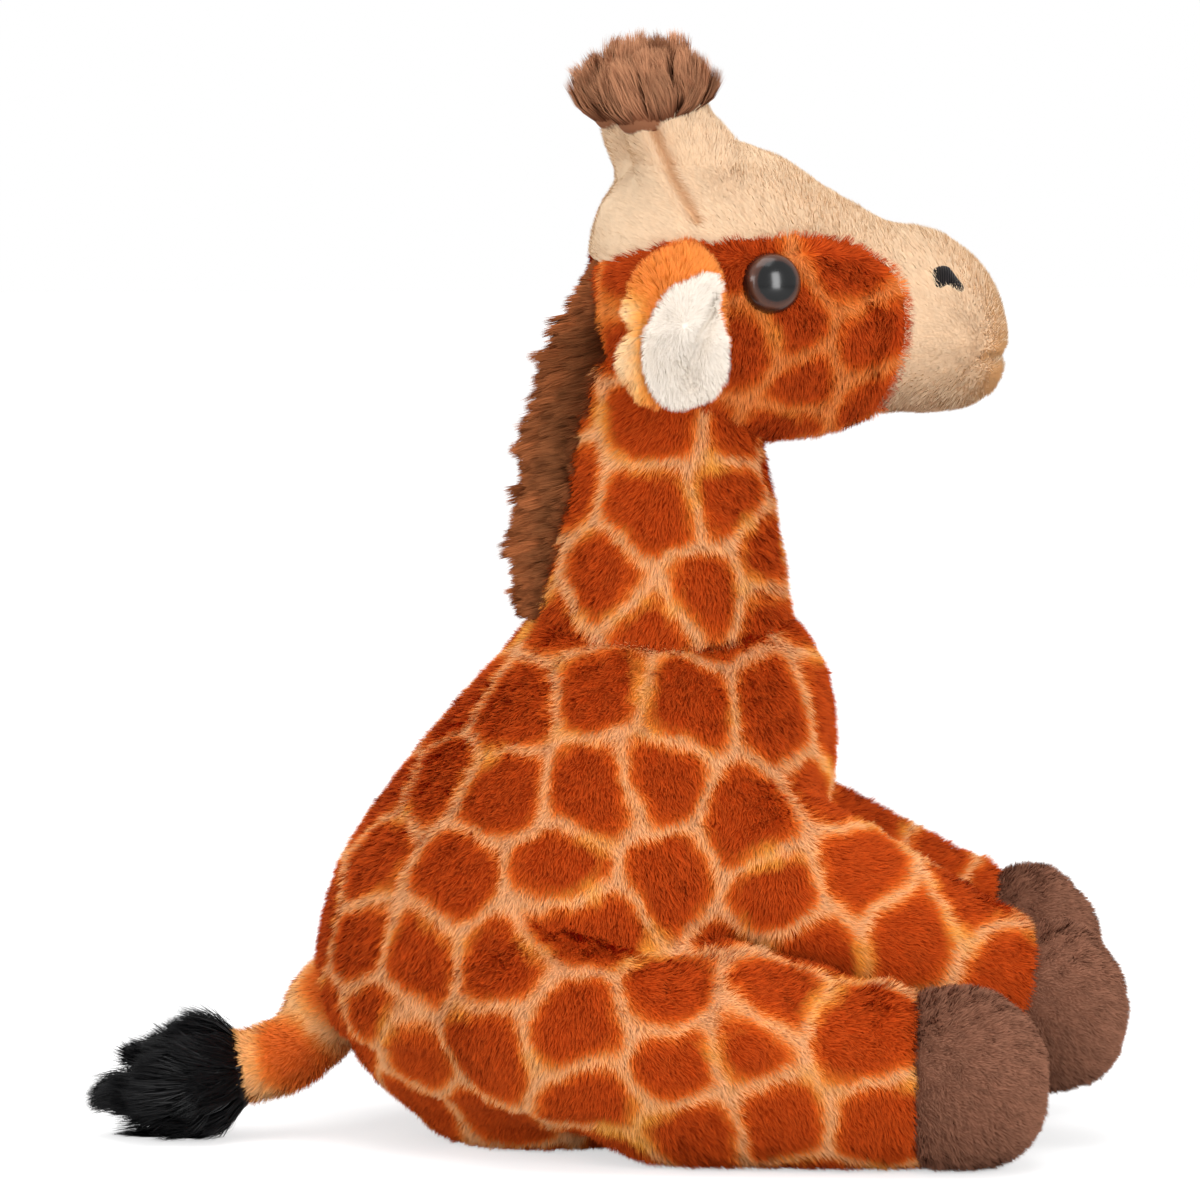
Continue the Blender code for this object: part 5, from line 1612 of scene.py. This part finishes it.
def floor_material():
    """A pale matt surface, with a glow added for the camera alone."""
    material, put, surface = new_surface("pale floor", Roughness=1.0, Specular_IOR_Level=0.0)
    fill(surface, {"Base Color": (0.62, 0.62, 0.62, 1.0)})
    strength = times(put, put("LightPath").outputs["Is Camera Ray"], FLOOR_GLOW)
    glow = put("Emission", {"Strength": strength}).outputs[0]
    total = put("AddShader", {0: surface.outputs[0], 1: glow}).outputs[0]
    fill(material.node_tree.nodes["Material Output"], {"Surface": total})
    return material


row = np.linspace(-FLOOR_HALF, FLOOR_HALF, FLOOR_TILES + 1)
x, y = (grid.ravel() for grid in np.meshgrid(row, row))
points = np.stack([x, y, np.full(len(x), -FLOOR_DEPTH)], 1)
start = (np.arange(FLOOR_TILES)[:, None] * len(row) + np.arange(FLOOR_TILES)[None]).ravel()
tiles = np.stack([start, start + 1, start + len(row) + 1, start + len(row)], 1)
floor = new_object("floor", new_mesh("floor", points, [tiles]), floor_material())

world = bpy.data.worlds.new("white studio")
world.use_nodes = True
bpy.context.scene.world = world
put = node_maker(world.node_tree)
seen = put("LightPath").outputs["Is Camera Ray"]
level = put("MapRange", {"To Min": WORLD_LIGHT, "To Max": 1.0, "Value": seen}).outputs[0]
fill(world.node_tree.nodes["Background"], {"Color": (1.0, 1.0, 1.0, 1.0), "Strength": level})
print("floor and backdrop are in")

# %% [markdown]
# Three large soft lamps. The one in front of the toy is the strongest, and gives the eye its highlight.


# %% Lamps
def softbox(name, place, width, height, watts):
    """A rectangular area lamp at a place, turned to look at the toy's middle."""
    lamp = bpy.data.lights.new(name, "AREA")
    lamp.shape = "RECTANGLE"
    lamp.size, lamp.size_y, lamp.energy = width, height, watts
    obj = bpy.data.objects.new(name, lamp)
    obj.location = place
    obj.rotation_mode = "QUATERNION"
    obj.rotation_quaternion = (Vector(place) - Vector(TOY_MIDDLE)).to_track_quat("Z", "Y")
    bpy.context.scene.collection.objects.link(obj)


TOY_MIDDLE = (0.0, 0.0, 0.14)
softbox("top softbox", (-0.1, -0.3, 1.5), 1.2, 1.0, 9.0)
softbox("front softbox", (0.78, -1.32, 0.36), 0.5, 1.3, 18.5)
softbox("side softbox", (-1.2, -1.0, 0.4), 0.7, 1.0, 10.0)
print("studio is lit")
